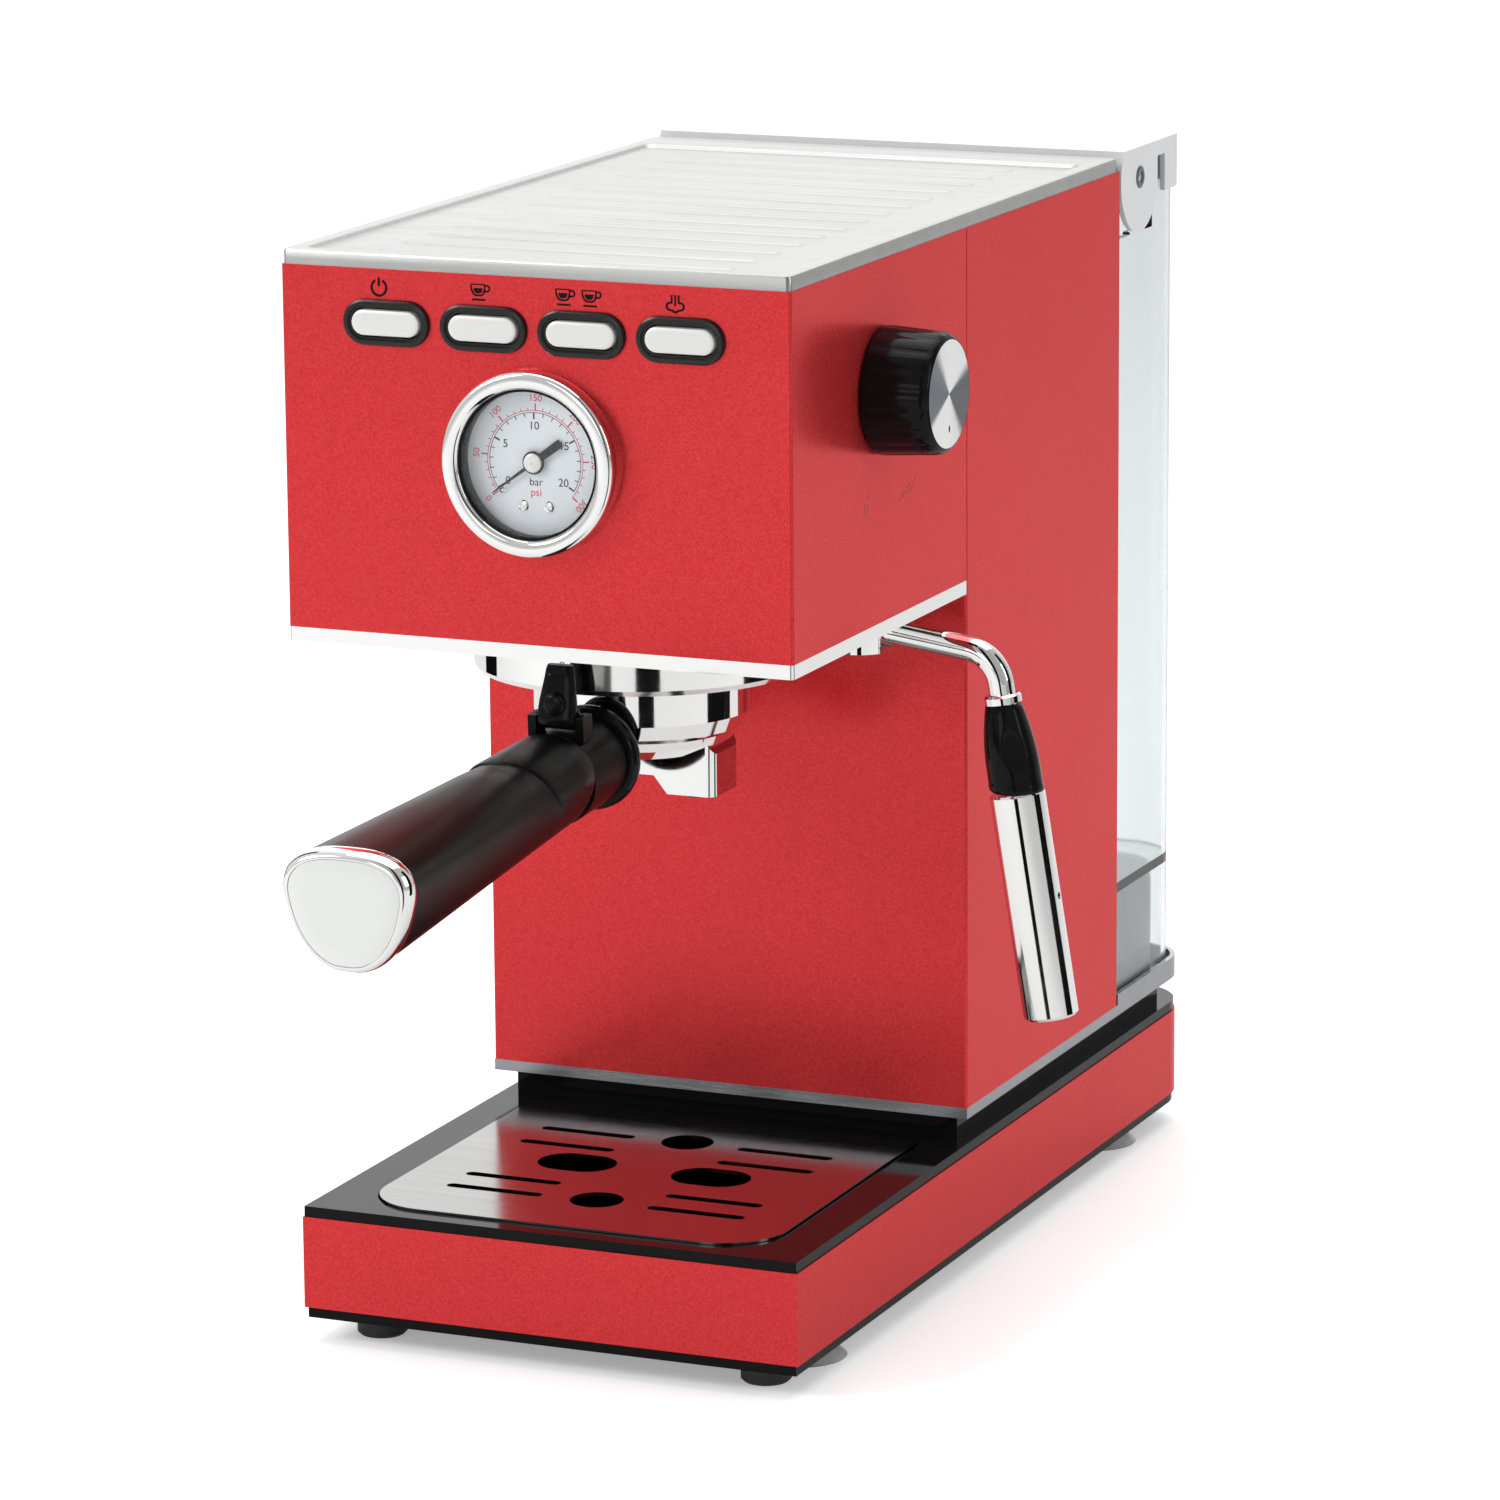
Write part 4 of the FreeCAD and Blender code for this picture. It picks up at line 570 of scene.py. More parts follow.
def strokeTree():
    # a flat printed line along the given edges
    tree, given, out = newTree("printedLine", [("Width", number, 0.6), ("Thick", number, 0.05),
                                               ("Finish", "NodeSocketMaterial", None)])
    path, face = node(tree, "MeshToCurve"), node(tree, "CurvePrimitiveQuadrilateral")
    level, sweep = node(tree, "SetCurveNormal"), node(tree, "CurveToMesh")
    level.mode = "Z_UP"
    sweep.inputs["Fill Caps"].default_value = True
    link(tree, (given["Geometry"], path.inputs[0]), (path.outputs[0], level.inputs[0]),
         (level.outputs[0], sweep.inputs["Curve"]),
         (given["Width"], face.inputs["Width"]), (given["Thick"], face.inputs["Height"]),
         (face.outputs[0], sweep.inputs["Profile Curve"]))
    finishTree(tree, given, out, sweep.outputs[0])
    return tree


def rowTree():
    # the given shape repeated in a straight row
    tree, given, out = newTree("evenRow", [("Count", "NodeSocketInt", 14), ("Pitch", vector, (0, 15.7, 0)),
                                           ("Finish", "NodeSocketMaterial", None)])
    row, spread = node(tree, "MeshLine"), node(tree, "InstanceOnPoints")
    link(tree, (given["Count"], row.inputs["Count"]), (given["Pitch"], row.inputs["Offset"]),
         (row.outputs[0], spread.inputs["Points"]),
         (given["Geometry"], spread.inputs["Instance"]))
    finishTree(tree, given, out, spread.outputs[0])
    return tree


trees = {"ticks": ticksTree(), "stroke": strokeTree(), "row": rowTree()}


def grow(treeName, values, mesh=None):
    tree = trees[treeName]
    source = bpy.data.objects.new("source", mesh or bpy.data.meshes.new("empty"))
    scene.collection.objects.link(source)
    shaper = source.modifiers.new("shape", "NODES")
    shaper.node_group = tree
    ids = {item.name: item.identifier for item in tree.interface.items_tree if item.in_out == "INPUT"}
    for label, value in values.items():
        shaper[ids[label]] = value
    graph = bpy.context.evaluated_depsgraph_get()
    made = bpy.data.meshes.new_from_object(source.evaluated_get(graph), depsgraph=graph)
    bpy.data.objects.remove(source)
    return made


def stroke(points, width, finish, closed=False, thick=0.06):
    count = len(points)
    mesh = bpy.data.meshes.new("path")
    edges = [(k, k + 1) for k in range(count - 1)] + ([(count - 1, 0)] if closed else [])
    mesh.from_pydata([(x, y, 0) for x, y in points], edges, [])
    return grow("stroke", {"Width": width, "Thick": thick, "Finish": finish}, mesh)


def patch(points, thick=0.06):
    # a flat printed area
    mesh = bpy.data.meshes.new("area")
    count = len(points)
    below = [(x, y, -thick/2) for x, y in points]
    above = [(x, y, thick/2) for x, y in points]
    sides = [(k, (k + 1) % count, count + (k + 1) % count, count + k) for k in range(count)]
    mesh.from_pydata(below + above, [], [tuple(range(count))[::-1], tuple(range(count, 2*count))] + sides)
    return mesh


def arc(x, y, radius, first, last, steps=24):
    turns = [radians(first + (last - first)*k/steps) for k in range(steps + 1)]
    return [(x + radius*cos(t), y + radius*sin(t)) for t in turns]


def writing(text, size):
    data = bpy.data.curves.new("writing", "FONT")
    data.body, data.size, data.extrude = text, size, 0.02
    data.align_x, data.align_y = "CENTER", "CENTER"
    holder = bpy.data.objects.new("writing", data)
    scene.collection.objects.link(holder)
    graph = bpy.context.evaluated_depsgraph_get()
    mesh = bpy.data.meshes.new_from_object(holder.evaluated_get(graph), depsgraph=graph)
    bpy.data.objects.remove(holder)
    return mesh


def shifted(mesh, x, y, turn=0.0):
    mesh.transform(Matrix.Translation((x, y, 0)) @ Matrix.Rotation(radians(turn), 4, "Z"))
    return mesh


blackInk = plastic("blackInk", (0.003, 0.002, 0.002), (0.006, 0.005, 0.005), 0.4, 0.5, 0.0, Specular_IOR_Level=0.1)
redInk = plastic("redInk", (0.52, 0.012, 0.035), (0.58, 0.02, 0.045), 0.4, 0.5, 0.0, Specular_IOR_Level=0.1)
faintInk = plastic("faintInk", (0.22, 0.012, 0.016), (0.26, 0.016, 0.02), 0.35, 0.45, 0.02)

# ---- pressure gauge

gauge = {"z": 252, "out": 6, "outer": 25, "window": 20, "dial": 0.4, "barRadius": 13.3, "psiRadius": 13.9,
         "barStart": -124.5, "barSweep": 247, "psiStart": -127.5, "psiSweep": 257, "rest": 126,
         "numbers": 9.7, "psiNumbers": 17.2}


def makeGauge(g):
    centre, front, side = at(0, 0, g["z"]), (0, -1, 0), (1, 0, 0)
    out = g["out"]
    rim = [(g["window"] + 0.1, out - 2.2), (g["window"] + 0.1, out - 1.3), (g["window"] + 0.5, out - 0.6),
           (g["window"] + 1.1, out - 0.12),
           (g["window"] + 1.5, out), (g["outer"] - 1.3, out), (g["outer"] - 0.7, out - 0.15),
           (g["outer"] - 0.2, out - 0.6),
           (g["outer"], out - 1.4), (g["outer"], 1.0), (g["outer"] - 0.3, 0.0), (22.1, 0.0), (22.1, out - 2.2)]
    mesh = latheMesh("gaugeBezel", rim, centre, front, side, finishes["chrome"], 128, angle=50)
    adopt("gaugeBezel", mesh, "machine", ["gauge_bezel"])
    seals = [latheMesh("seal", ring, centre, front, side, finishes["black_gloss"], 96) for ring in
             ([(20.6, -0.3), (19.7, -0.3), (19.5, 1.0), (19.5, 2.2), (19.75, 3.1), (20.6, 3.1)],
              [(20.4, 4.45), (19.7, 4.45), (19.6, 4.7), (19.8, 4.95), (20.2, 4.95)])]
    seal = gather("gaugeSeal", seals, finishes["black_gloss"])
    settle(seal)
    adopt("gaugeSeal", seal, "machine")

    flat = flatTo(at(0, g["dial"] - 0.02, g["z"]), (1, 0, 0), (0, 0, 1))
    turn = radians
    barStep, psiStep = turn(g["barSweep"]/20), turn(g["psiSweep"]/30)
    barR, psiR = g["barRadius"], g["psiRadius"]
    arcOf = lambda radius, start, sweep: arc(0, 0, radius, 90 - start, 90 - start - sweep, 90)
    dark = [grow("ticks", {"Count": 21, "Radius": barR - 0.55, "Start": turn(g["barStart"]), "Step": barStep,
                           "Bar": (0.22, 1.1, 0.05), "Finish": blackInk}),
            grow("ticks", {"Count": 5, "Radius": barR - 0.9, "Start": turn(g["barStart"]), "Step": 5*barStep,
                           "Bar": (0.42, 1.8, 0.06), "Finish": blackInk}),
            stroke(arcOf(barR, g["barStart"], g["barSweep"]), 0.16, blackInk, thick=0.05),
            shifted(writing("bar", 3.0), 0.2, -5.4)]
    for k, text in enumerate(("0", "5", "10", "15", "20")):
        way = turn(g["barStart"] + k*g["barSweep"]/4)
        dark.append(shifted(writing(text, 3.1), g["numbers"]*sin(way), g["numbers"]*cos(way)))
    red = [grow("ticks", {"Count": 31, "Radius": psiR + 0.45, "Start": turn(g["psiStart"]), "Step": psiStep,
                          "Bar": (0.18, 0.9, 0.05), "Finish": redInk}),
           grow("ticks", {"Count": 7, "Radius": psiR + 0.95, "Start": turn(g["psiStart"]), "Step": 5*psiStep,
                          "Bar": (0.36, 1.9, 0.06), "Finish": redInk}),
           stroke(arcOf(psiR, g["psiStart"], g["psiSweep"]), 0.18, redInk, thick=0.05),
           shifted(writing("psi", 3.0), 0.2, -8.2)]
    for k, text in enumerate(("0", "50", "100", "150", "200", "250", "300")):
        way = g["psiStart"] + k*g["psiSweep"]/6
        x, y = g["psiNumbers"]*sin(turn(way)), g["psiNumbers"]*cos(turn(way))
        red.append(shifted(writing(text, 2.6), x, y, -way))
    for name, meshes, ink in (("dialBlackPrint", dark, blackInk), ("dialRedPrint", red, redInk)):
        printed = gather(name, meshes, ink)
        printed.transform(flat)
        adopt(name, printed, "machine")

    heads = []
    for x, z, radius in ((-3.7, -11.9, 1.6), (3.7, -11.9, 1.6), (-9.6, -8.0, 1.0)):
        dome = [(0, 0.75), (0.25*radius, 0.74), (0.25*radius, 0.35), (0.32*radius, 0.72), (0.8*radius, 0.5),
                (radius, 0.1), (radius, -0.2), (0, -0.2)]
        heads.append(latheMesh("screw", dome, at(x, g["dial"], g["z"] + z), front, side, finishes["chrome"], 24,
                               ring=False))
    adopt("dialScrews", gather("dialScrews", heads, finishes["chrome"]), "machine")


def makeNeedle(g):
    # drawn pointing up, then turned to its rest place at zero
    flat = flatTo(at(0, -0.7, g["z"]), (1, 0, 0), (0, 0, 1)) @ Matrix.Rotation(radians(g["rest"]), 4, "Z")
    blade = patch([(-0.55, 0), (-0.5, 2), (-0.16, 14.4), (0, 15.6), (0.16, 14.4), (0.5, 2), (0.55, 0)], 0.4)
    tail = patch([(-1.0, 0), (1.0, 0), (1.15, -9.8), (-1.15, -9.8)], 0.45)
    pointer = gather("gaugePointer", [blade, tail], blackInk)
    pointer.transform(flat)
    settle(pointer)
    adopt("gaugePointer", pointer, "needle", ["gauge_needle"])
    ring = [(0, 0.4), (3.0, 0.4), (3.15, 0.9), (2.9, 1.2), (0, 1.2)]
    adopt("pointerRing", latheMesh("pointerRing", ring, at(0, 0, g["z"]), (0, -1, 0), (1, 0, 0),
                                   finishes["black_gloss"], 48, ring=False),
          "needle")
    cap = [(0, 1.55), (0.28, 1.55), (0.34, 1.75), (2.2, 1.72), (2.55, 1.5), (2.6, 1.1), (0, 1.1)]
    adopt("pointerCap", latheMesh("pointerCap", cap, at(0, 0, g["z"]), (0, -1, 0), (1, 0, 0),
                                  finishes["silver_paint"], 48, ring=False),
          "needle")


makeGauge(gauge)
makeNeedle(gauge)
print("stage: gauge")

# ---- buttons and printed signs

button = {"xs": (-42.75, -14.25, 14.25, 42.75), "z": 287, "long": 20, "tall": 7, "bezelLong": 25.5, "bezelTall": 11.2,
          "out": 1.6,
          "bodies": ("power_button", "one_cup_button", "two_cup_button", "steam_button")}


def sweepPill(name, profile, x, z, finish, ring):
    # profile: how far each line stands outside the pill's edge, and how far out of the panel
    loops = [[at(x + a, -out, z + b) for a, b in stadiumLoop(button["long"] + 2*grown,
                                                             button["tall"] + 2*grown)] for grown, out in profile]
    return tubeMesh(name, loops, finish, ring=ring, angle=40)


def makeButtons(b):
    surround, bezelGrey = [], plastic("bezelGrey", (0.006, 0.006, 0.006), (0.012, 0.012, 0.012), 0.18, 0.26, 0.02,
                                      Specular_IOR_Level=0.35)
    wide = (b["bezelLong"] - b["long"])/2
    for x in b["xs"]:
        lip = [(0.36, -5.0), (0.36, 0.2), (0.5, 0.45), (0.95, 0.5), (1.05, 1.0), (1.3, 1.35), (wide - 0.9, 1.4),
               (wide - 0.25, 1.1),
               (wide, 0.5), (wide, 0.0), (1.2, 0.0), (1.2, -5.0)]
        surround.append(sweepPill("bezel", lip, x, b["z"], bezelGrey, True))
    mesh = gather("buttonBezels", surround, bezelGrey)
    settle(mesh, 40)
    adopt("buttonBezels", mesh, "machine", ["button_bezels"])
    for x, body in zip(b["xs"], b["bodies"]):
        cap = [(-3.3, b["out"]), (-1.4, b["out"]), (-0.55, b["out"] - 0.05), (-0.15, b["out"] - 0.3),
               (0, b["out"] - 0.8), (0, -5.0),
               (1.0, -5.3), (1.0, -6.6), (0, -6.6), (0, -10.0), (-3.3, -10.0)]
        mesh = sweepPill(body + "Cap", cap, x, b["z"], finishes["silver_paint"], False)
        adopt(body + "Cap", mesh, body, [body])


def cupSign(x, y, ink):
    cup = [(-2.6, 1.95), (-2.5, 0.6), (-1.9, -0.6), (-1.2, -0.95), (0.2, -0.95), (0.9, -0.6), (1.35, 0.5),
           (1.4, 1.95)]
    ear = [(1.4, 1.55)] + arc(2.0, 0.95, 0.78, 80, -100, 12) + [(1.1, 0.1)]
    drink = [(-1.9, 1.0), (0.8, 1.0), (0.6, 0.1), (0.1, -0.45), (-1.2, -0.45), (-1.75, 0.1)]
    return [stroke([(x + a, y + b) for a, b in cup], 0.55, ink, True),
            stroke([(x + a, y + b) for a, b in ear], 0.52, ink),
            stroke([(x - 2.3, y - 2.1), (x + 1.6, y - 2.1)], 0.55, ink),
            patch([(x + a, y + b) for a, b in drink])]


signPlaces = {"z": 296.6, "cups": (-15.2, 9.5, 17.1), "lockX": -3, "lockZ": 191.2, "collarY": 68.5,
              "collarRadius": 46.5}


def makeSigns(p):
    ink, z = blackInk, p["z"]
    signs = [stroke(arc(-44.95, z - 0.2, 2.15, 118, 422, 36), 0.68, ink),
             stroke([(-44.95, z + 0.2), (-44.95, z + 2.5)], 0.68, ink)]
    for x in p["cups"]:
        signs += cupSign(x, z + 0.2, ink)
    cloud = arc(39.7, z - 0.7, 0.95, 60, 250, 12) + arc(41.2, z - 1.25, 0.95, 215, 325,
                                                        10) + arc(42.7, z - 0.7, 0.95, -70, 120, 12)
    signs += [stroke(cloud, 0.62, ink)] + [stroke([(x, z - 0.4 + d), (x, z + 2.3)], 0.55, ink) for x,
                                           d in ((40.2, 0.5), (41.2, -0.2), (42.2, 0.5))]
    mesh = gather("buttonSigns", signs, ink)
    mesh.transform(flatTo(at(0, 0, 0), (1, 0, 0), (0, 0, 1)))
    adopt("buttonSigns", mesh, "machine")

    knobSide = [stroke(arc(51.2, 235.3, 1.25, 0, 360, 24), 0.35, faintInk, True),
                stroke([(52.3, 237.2), (53.6, 239.8)], 0.35, faintInk)]
    wave = lambda x, y: [(x + 0.55*k, y + 0.5*k + 0.35*sin(2.2*k)) for k in range(6)]
    knobSide += [stroke(wave(75.5 + 2.4*k, 233.5 + 0.6*k), 0.32,
                        faintInk) for k in range(3)] + [stroke([(82.5, 234.4), (87.6, 239.0)], 0.35, faintInk)]
    mesh = gather("knobSigns", knobSide, faintInk)
    mesh.transform(flatTo(at(74, 0, 0), (0, 1, 0), (0, 0, 1)))
    adopt("knobSigns", mesh, "machine")

    lock = [stroke([(-1.25, -1.3), (1.25, -1.3), (1.25, 0.7), (-1.25, 0.7)], 0.26, blackInk, True),
            stroke([(-0.75, 0.7), (-0.75, 1.4)] + arc(0, 1.4, 0.75, 180, 0, 12) + [(0.75, 0.7)], 0.26, blackInk),
            stroke([(0, 0.0), (0, -0.75)], 0.3, blackInk)]
    mesh = gather("collarSign", lock, blackInk)
    way = asin(p["lockX"]/p["collarRadius"])
    spot = at(p["lockX"], p["collarY"] - (p["collarRadius"] + 0.02)*cos(way), p["lockZ"])
    mesh.transform(flatTo(spot, (cos(way), sin(way), 0), (0, 0, 1)))
    adopt("collarSign", mesh, "machine")


makeButtons(button)
makeSigns(signPlaces)
print("stage: buttons and signs")

# ---- steam knob

knob = {"x": 74, "y": 62.5, "z": 266, "radius": 17.5, "front": 16.6, "disc": 14.65, "flutes": 18, "depth": 0.28,
        "groove": 0.00022}


def makeKnob(k):
    centre, axis, side = at(k["x"], k["y"], k["z"]), (1, 0, 0), (0, 1, 0)

    def fluted(radius, along, turn):
        if not 2.2 < along < 18.4 or radius < k["disc"] + 0.8:
            return radius
        return radius - k["depth"]*(0.5 - 0.5*cos(k["flutes"]*turn))**3

    skirt = [(3.54, 0.6), (k["radius"] - 0.5, 0.5), (k["radius"], 1.0), (k["radius"], 2.2), (k["radius"], 3.4)]
    skirt += [(k["radius"] + (k["front"] - k["radius"])*s, 3.4 + 13.4*s) for s in (0.25, 0.5, 0.75, 1.0)]
    skirt += [(k["front"] - 0.25, 17.9), (k["front"] - 0.8, 18.8), (k["front"] - 1.5, 19.4), (k["disc"] + 0.12, 19.5),
              (k["disc"] + 0.1, 19.2),
              (k["disc"] + 0.1, 18.5), (3.54, 18.5)]
    mesh = latheMesh("steamKnob", skirt, centre, axis, side, finishes["black_gloss"], 216, radiusAt=fluted, angle=40)
    adopt("steamKnob", mesh, "knob", ["steam_knob"])

    # disc finish: metal with fine turned grooves as a bump, plus a painted reflection in its base colour
    finish, tree, skin, place = newFinish("turnedDiscPaintedSheen", (0.8, 0.8, 0.8), 0.24, 1.0)
    moved = tree.nodes.new("ShaderNodeMapping")
    moved.vector_type = "POINT"
    moved.inputs["Location"].default_value = -centre
    split = tree.nodes.new("ShaderNodeSeparateXYZ")
    link(tree, (place, moved.inputs[0]), (moved.outputs[0], split.inputs[0]))
    around = mathNode(tree, "DIVIDE", mathNode(tree, "ARCTAN2", split.outputs["Z"], split.outputs["Y"]), 2*pi)
    # painted reflection: bright and dark sectors round the disc stand in for the sheen of turned metal; they are
    # painted into the base colour, so they turn with the knob
    paintedSheenSectors = ramp(tree, [(0.0, (0.08, 0.09, 0.10)), (0.045, (0.12, 0.13, 0.15)), (0.085, (0.95, 0.96, 0.96)),
                          (0.23, (1.0, 1.0, 1.0)),
                          (0.32, (0.93, 0.95, 0.96)), (0.37, (0.2, 0.22, 0.25)), (0.47, (0.12, 0.15, 0.18)),
                          (0.565, (0.16, 0.18, 0.2)),
                          (0.59, (0.95, 0.96, 0.96)), (0.74, (1.0, 1.0, 0.99)), (0.83, (0.85, 0.88, 0.88)),
                          (0.87, (0.10, 0.11, 0.12))])
    far = mathNode(tree, "SQRT", mathNode(tree, "ADD", mathNode(tree, "MULTIPLY", split.outputs["Y"],
                                                                split.outputs["Y"]),
                                    mathNode(tree, "MULTIPLY", split.outputs["Z"], split.outputs["Z"])))
    grooves = mathNode(tree, "SINE", mathNode(tree, "MULTIPLY", far, 2*pi/k["groove"]))
    link(tree, (mathNode(tree, "FRACT", mathNode(tree, "ADD", around, 1.0)), paintedSheenSectors.inputs[0]),
         (paintedSheenSectors.outputs[0], skin.inputs["Base Color"]))
    bump(tree, skin, grooves, 0.15, 0.00002)
    finishNode("knob_disc", finish)
    mark = patch([(0.45*a, 0.95*b) for a, b in arc(0, 0, 1, 0, 345, 23)], 0.06)
    mark.transform(flatTo(centre + Vector((0.01951, 0, -0.0095)), (0, 1, 0), (0, 0, 1)))
    mark.materials.append(blackInk)
    adopt("knobMark", mark, "knob")


makeKnob(knob)
print("stage: steam knob")

# ---- portafilter handle, its end cap and the thumb clip

handle = {"y": 38.6, "z": 165.5, "fall": 3.55, "start": -30, "end": -150.6, "cap": 5.9, "neckWide": 27.4,
          "neckTall": 25.6,
          "wide": 40.2, "tall": 32.6, "seam": 118}


def alongHandle(x, y, z):
    # the handle's own frame turns about X at its root
    return at(0, handle["y"], handle["z"]) + Matrix.Rotation(radians(handle["fall"]), 3, "X") @ Vector((x, y, z))/1000


def gripLoop(wide, tall, taper, steps=72, square=2.7, seam=0.0):
    points = []
    for k in range(steps):
        turn = 2*pi*k/steps
        c, s = cos(turn), sin(turn)
        x = copysign(abs(c)**(2/square), c)
        z = copysign(abs(s)**(2/square), s)
        narrow = 1 - taper*((1 - z)/2)**1.5
        inward = 1 - seam if k == round(handle["seam"]/360*steps) else 1.0
        points.append((x*wide/2*narrow*inward, z*tall/2*inward))
    return points


def makeHandle(h):
    loops = []
    long = h["start"] - h["end"] - 2

    def station(share, close, raised, bow):
        # raised lifts the upper side, bow pulls its middle along the handle
        ease = share**1.15
        wide = (h["neckWide"] + (h["wide"] - 0.5 - h["neckWide"])*ease)*close
        tall = (h["neckTall"] + (h["tall"] - 0.5 - h["neckTall"])*ease)*close
        points = []
        for x, z in gripLoop(wide, tall, 0.22 + 0.2*ease, square=2.05 + 0.65*ease, seam=0.018 if raised == 0 else 0):
            top = max(0, min(1, (z/(tall/2) + 0.25)/0.5))
            push = raised*top/hypot(x, z)
            points.append(alongHandle(x*(1 + push), h["start"] - 2 - long*share - bow*max(0, z/(tall/2))**0.7,
                                      z*(1 + push)))
        loops.append(points)

    for share, close, raised, bow in ((-0.018, 0.93, 0.5, 0), (-0.011, 0.985, 0.7, 0), (0, 1, 0.8, 0),
                                      (0.06, 1, 0.8, 2), (0.12, 1, 0.8, 5), (0.165, 1, 0.8, 7.5),
                                      (0.175, 1, 0.5, 8), (0.178, 1, 0, 8), (0.23, 1, 0, 5), (0.29, 1, 0, 2)):
        station(max(share, 0), close, raised, bow + long*min(share, 0))
    for k in range(4, 14):
        station(k/13, 1, 0, 0)
    loops.append([alongHandle(x, h["end"], z) for x, z in gripLoop(h["wide"] - 1.0, h["tall"] - 1.0, 0.42)])
    mesh = tubeMesh("handleGrip", loops, finishes["black_matte"], angle=40)
    adopt("handleGrip", mesh, "portafilter", ["handle_grip"])
    # a smooth collar on the neck
    axis = (alongHandle(0, -10, 0) - alongHandle(0, 0, 0)).normalized()
    hoop = [(12.4, 3.4), (13.6, 3.4), (14.4, 4.2), (14.7, 5.6), (14.5, 7.2), (13.9, 8.2), (13.0, 8.4), (12.4, 8.4)]
    adopt("neckHoop", latheMesh("neckHoop", hoop, alongHandle(0, 0, 0), axis, (1, 0, 0), finishes["black_gloss"], 72),
          "portafilter")

    end, cap = h["end"], h["cap"]
    rim = [(end - 0.05, 0.9), (end - 0.25, 0.985), (end - 0.7, 1.0), (end - 2.4, 1.0), (end - 3.6, 0.99),
           (end - 4.8, 0.965),
           (end - cap + 0.25, 0.93), (end - cap, 0.895), (end - cap + 0.05, 0.872), (end - cap + 0.8, 0.868)]
    loops = [[alongHandle(x, y, z) for x, z in gripLoop(h["wide"]*close, h["tall"]*close, 0.42)] for y, close in rim]
    adopt("handleCap", tubeMesh("handleCap", loops, finishes["chrome"], angle=50), "portafilter",
          ["handle_cap"])
    face = [(end - cap + 0.8, 0.864), (end - cap + 0.12, 0.864), (end - cap + 0.02, 0.852), (end - cap, 0.6),
            (end - cap, 0.2)]
    loops = [[alongHandle(x, y, z) for x, z in gripLoop(h["wide"]*close, h["tall"]*close, 0.42)] for y, close in face]
    adopt("capBadge", tubeMesh("capBadge", loops, plastic("badgeGrey", (0.58, 0.59, 0.57), (0.62, 0.63, 0.61), 0.3,
                                                          0.36, 0.01), angle=50), "portafilter",
          ["cap_badge"])


def makeClip():
    # a tapered thumb tab with a round boss on its face
    loops = []
    outline = [(-27.0, 16.6, 2.2, 5.5), (-26.5, 18.5, 2.3, 5.5), (-26.0, 21.0, 2.0, 5.3), (-25.2, 24.0, 1.7, 4.8),
               (-24.4, 27.0, 1.5, 4.3),
               (-23.7, 29.4, 1.45, 4.0), (-23.4, 30.3, 1.0, 3.7)]
    for y, z, thick, half in outline:
        row = [(half*copysign(abs(cos(t))**0.5, cos(t)), thick*copysign(abs(sin(t))**0.6, sin(t)))
               for t in (2*pi*k/32 for k in range(32))]
        loops.append([alongHandle(a, y + b + 1.4, z) for a, b in row])
    black = finishes["black_gloss"]
    lever = tubeMesh("lever", loops, black, angle=50)
    boss = latheMesh("boss", [(0, 1.3), (2.2, 1.25), (2.9, 0.9), (3.2, 0.2), (3.2, -1.0), (0, -1.0)],
                     alongHandle(0, -27.1, 20.5), (0, -1, 0), (1, 0, 0), black,
                     40, ring=False)
    eye = latheMesh("eye", [(1.56, -5.4), (2.6, -5.4), (2.9, -5.1), (2.9, 5.1), (2.6, 5.4), (1.56, 5.4)],
                    alongHandle(0, -24, 15.8), (1, 0, 0), (0, 1, 0),
                    black, 32)
    mesh = gather("thumbClip", [lever, boss, eye], black)
    settle(mesh, 50)
    adopt("thumbClip", mesh, "basket_clip", ["basket_clip"])


makeHandle(handle)
makeClip()
print("stage: handle")

# ---- steam wand grip

wand = {"ball": (50, 105, 192), "first": 41, "fall": 8, "lean": 9.2, "down": 13.5, "long": 25}


def makeWandGrip(w):
    fall, lean = radians(w["fall"]), radians(w["lean"])
    x = w["ball"][0] + w["first"]*cos(fall) + w["down"]*sin(lean)
    z = w["ball"][2] - w["first"]*sin(fall) - w["down"]*cos(lean)
    axis = Vector((-sin(lean), 0, cos(lean)))
    long = w["long"]

    def dented(radius, along, turn):
        r = radius
        # shallow oval dimples where finger and thumb hold it
        for way in (radians(-62), radians(118)):
            a = (atan2(sin(turn - way), cos(turn - way))*7.0)/3.1
            b = (along + 12.0)/5.6
            d = a*a + b*b
            if d < 1:
                r -= 0.75*(1 - d)**0.45
        return r

    body = [(3.72, 0.0), (4.5, 0.0), (5.0, -0.35), (5.3, -1.2)]
    body += [(5.3 + 2.3*sin(pi/2*s)**0.9, -1.2 - 17.5*s) for s in [k/22 for k in range(1, 23)]]
    body += [(7.6, -20.5), (7.6, -22.5), (7.75, -23.3), (7.65, -24.5), (7.2, -long), (3.72, -long)]
    mesh = latheMesh("wandGrip", body, at(x, w["ball"][1], z), axis, (1, 0, 0), finishes["black_gloss"], 96,
                     radiusAt=dented, angle=45)
    adopt("wandGrip", mesh, "wand", ["wand_grip"])


makeWandGrip(wand)
print("stage: steam wand")

# ---- cup shelf

shelf = {"low": 301.4, "top": 305.5, "half": 73.7, "front": 0.3, "back": 247, "corner": 1.5, "recessHalf": 69,
         "recessFront": 4.5,
         "recessBack": 230, "floor": 304.3, "ribs": 14, "pitch": 15.7, "first": 14.5, "ribLong": 104, "ribWide": 4.2,
         "ribRise": 0.42}


def boxLoop(x, front, back, z, corner, steps=6):
    points = []
    for cx, cy, start in ((x - corner, front + corner, -90), (x - corner, back - corner, 0),
                          (-x + corner, back - corner, 90), (-x + corner, front + corner, 180)):
        points += [at(cx + corner*cos(radians(start + 90*k/steps)), cy + corner*sin(radians(start + 90*k/steps)),
                      z) for k in range(steps + 1)]
    return points


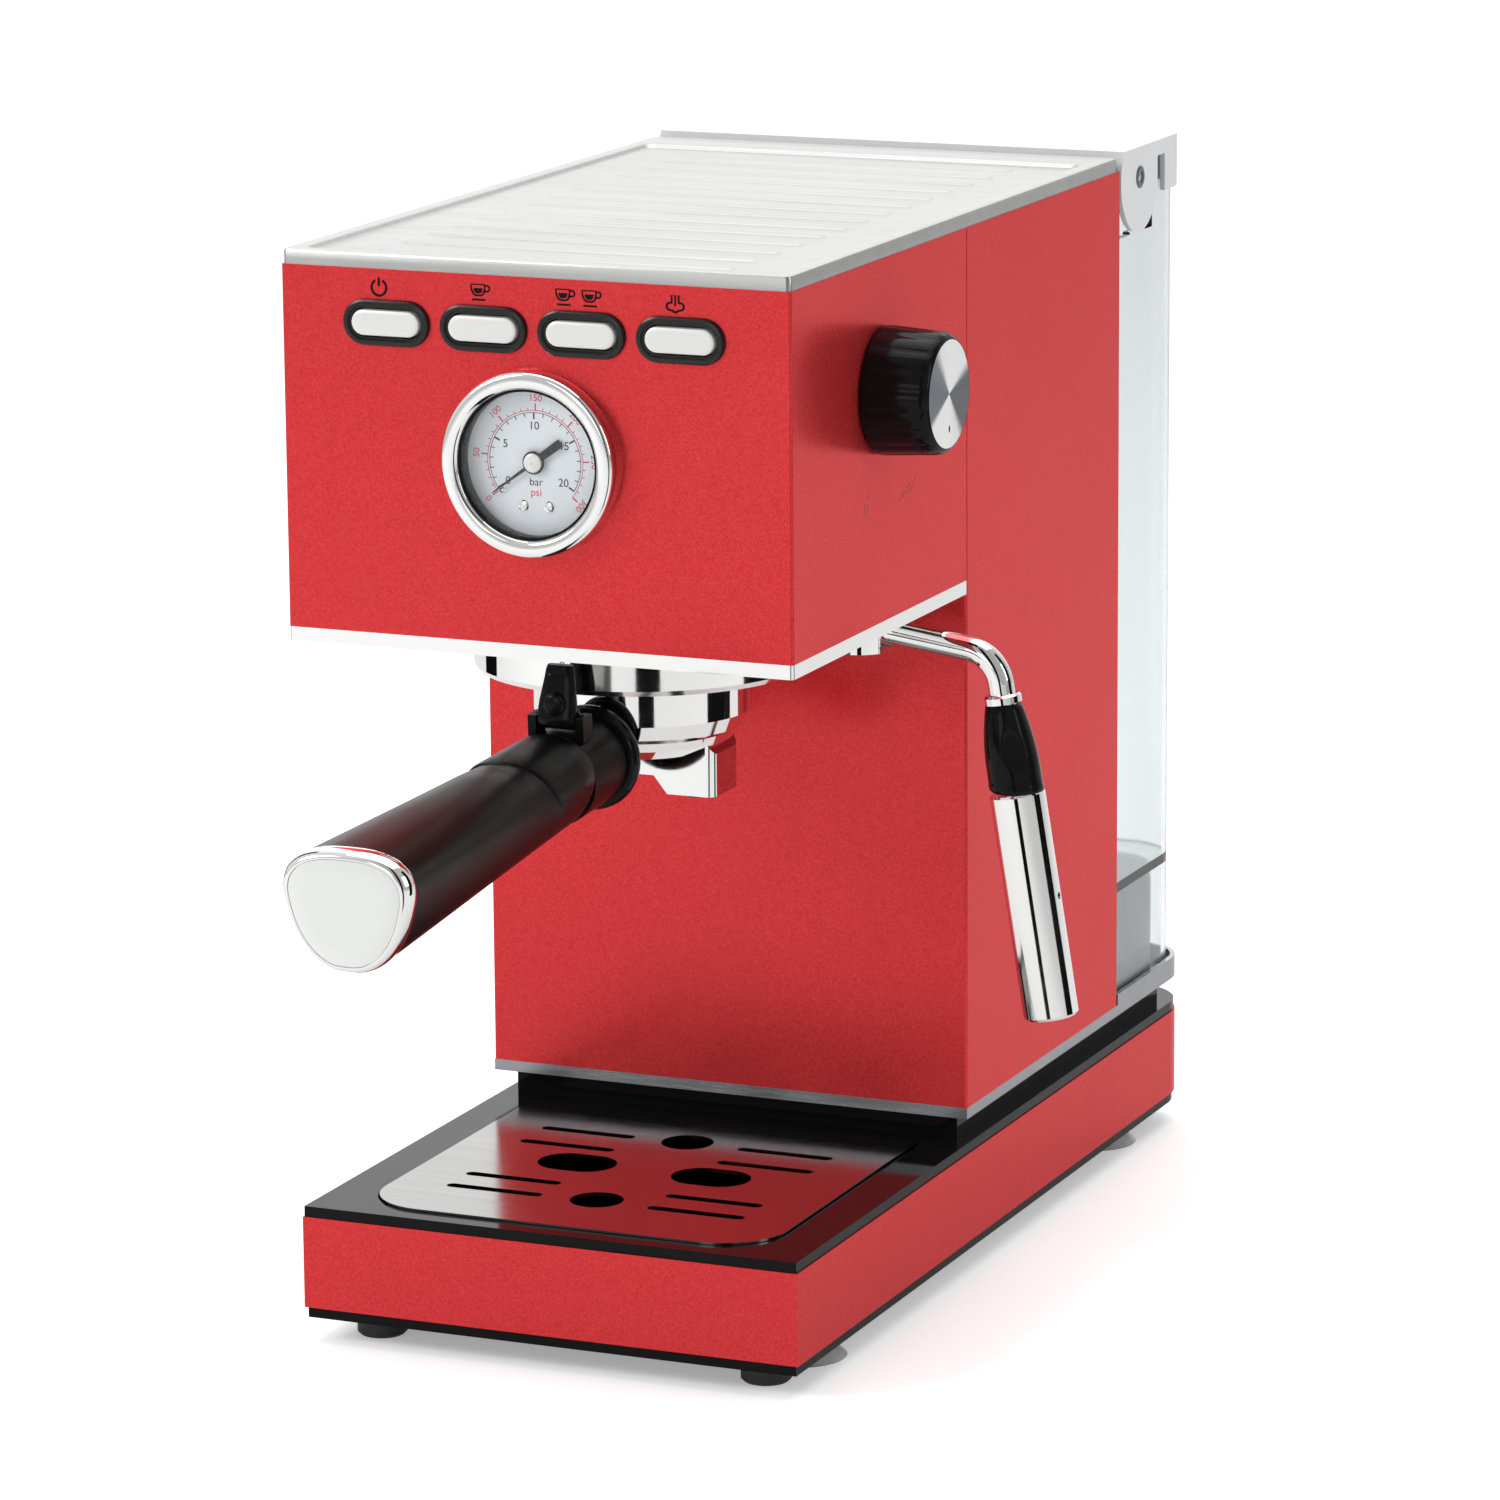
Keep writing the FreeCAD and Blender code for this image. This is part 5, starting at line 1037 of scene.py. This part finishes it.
def makeShelf(s):
    x, f, b, t = s["half"], s["front"], s["back"], s["top"]
    rx, rf, rb, fl = s["recessHalf"], s["recessFront"], s["recessBack"], s["floor"]
    rows = [(x - 2, f + 2, b - 2, s["low"] + 0.4, 1.0), (x - 1.6, f + 1.6, b - 1.6, s["low"], 1.0),
            (x, f, b, s["low"], s["corner"]),
            (x, f, b, t - 0.7, s["corner"]), (x - 0.2, f + 0.2, b - 0.2, t - 0.2, s["corner"]),
            (x - 0.7, f + 0.7, b - 0.7, t, s["corner"]),
            (rx + 0.6, rf - 0.6, rb + 0.6, t, 3.0), (rx, rf, rb, t - 0.25, 3.0),
            (rx - 0.5, rf + 0.5, rb - 0.5, fl + 0.2, 3.0), (rx - 1.2, rf + 1.2, rb - 1.2, fl, 3.0)]
    mesh = tubeMesh("cupShelf", [boxLoop(*row) for row in rows], finishes["steel"], angle=40)
    adopt("cupShelf", mesh, "machine", ["cup_shelf"])
    loops = [[(a, c, up) for a, c in stadiumLoop(s["ribLong"] + 2*grown, s["ribWide"] + 2*grown, 10)]
             for grown, up in ((0.5, -0.05), (0.1, 0.06), (-0.4, 0.24), (-0.9, 0.37), (-1.5, s["ribRise"]))]
    rib = tubeMesh("rib", [[Vector(p) for p in loop] for loop in loops], finishes["steel"], angle=50)
    ribs = grow("row", {"Count": s["ribs"], "Pitch": (0.0, s["pitch"], 0.0), "Finish": finishes["steel"]}, rib)
    ribs.transform(Matrix.Translation(at(0, s["first"], fl)) @ Matrix.Scale(0.001, 4))
    settle(ribs, 50)
    adopt("shelfRibs", ribs, "machine")


makeShelf(shelf)
print("stage: cup shelf")

# ---- tank dock housing and hinge ring

dock = {"half": 68, "front": 252.8, "back": 301, "low": 49.9, "top": 81.9, "corner": 13, "hole": 8.5, "holeY": 268,
        "middleY": 277, "halfDeep": 24}


def makeDock(d):
    steps = 12
    outline = []
    for cx, cy, start, r in ((d["half"], d["front"], -90, 2), (d["half"], d["back"], 0, d["corner"]),
                             (-d["half"], d["back"], 90, d["corner"]),
                             (-d["half"], d["front"], 180, 2)):
        mx, my = cx - copysign(r, cx), cy + (r if cy == d["front"] else -r)
        outline += [(mx + r*cos(radians(start + 90*k/steps)),
                     my + r*sin(radians(start + 90*k/steps))) for k in range(steps + 1)]

    def ringAt(z, inset):
        mid = d["middleY"]
        return [at(x*(1 - inset/d["half"]), mid + (y - mid)*(1 - inset/d["halfDeep"]), z) for x, y in outline]

    def holeAt(z, grown=0.0):
        points = []
        for x, y in outline:
            way = atan2(y - d["holeY"], x)
            points.append(at((d["hole"] + grown)*cos(way), d["holeY"] + (d["hole"] + grown)*sin(way), z))
        return points

    low, top = d["low"], d["top"]
    loops = [ringAt(low, 0.4), ringAt(low + 0.5, 0), ringAt(low + 8, 0), ringAt(low + 8.3, 0.5),
             ringAt(low + 9.2, 0.5), ringAt(low + 9.5, 0),
             ringAt(top - 3, 0), ringAt(top - 0.8, 0.3), ringAt(top, 1.2), holeAt(top, 0.6), holeAt(top - 0.6),
             holeAt(low)]
    mesh = tubeMesh("dockHousing", loops, finishes["grey_plastic"], ring=True, angle=40)
    adopt("dockHousing", mesh, "machine")
    eye = [(1.7, -0.2), (1.7, 0.25), (2.1, 0.4), (2.9, 0.4), (3.3, 0.2), (3.3, -0.2)]
    ring = latheMesh("hingeRing", eye, at(74, 265.4, 297.6), (1, 0, 0), (0, 1, 0),
                     plastic("hingeGrey", (0.05, 0.055, 0.06), (0.08, 0.085, 0.09), 0.2, 0.3, 0.02), 40)
    adopt("hingeRing", ring, "tank_lid")


makeDock(dock)
print("stage: dock housing")
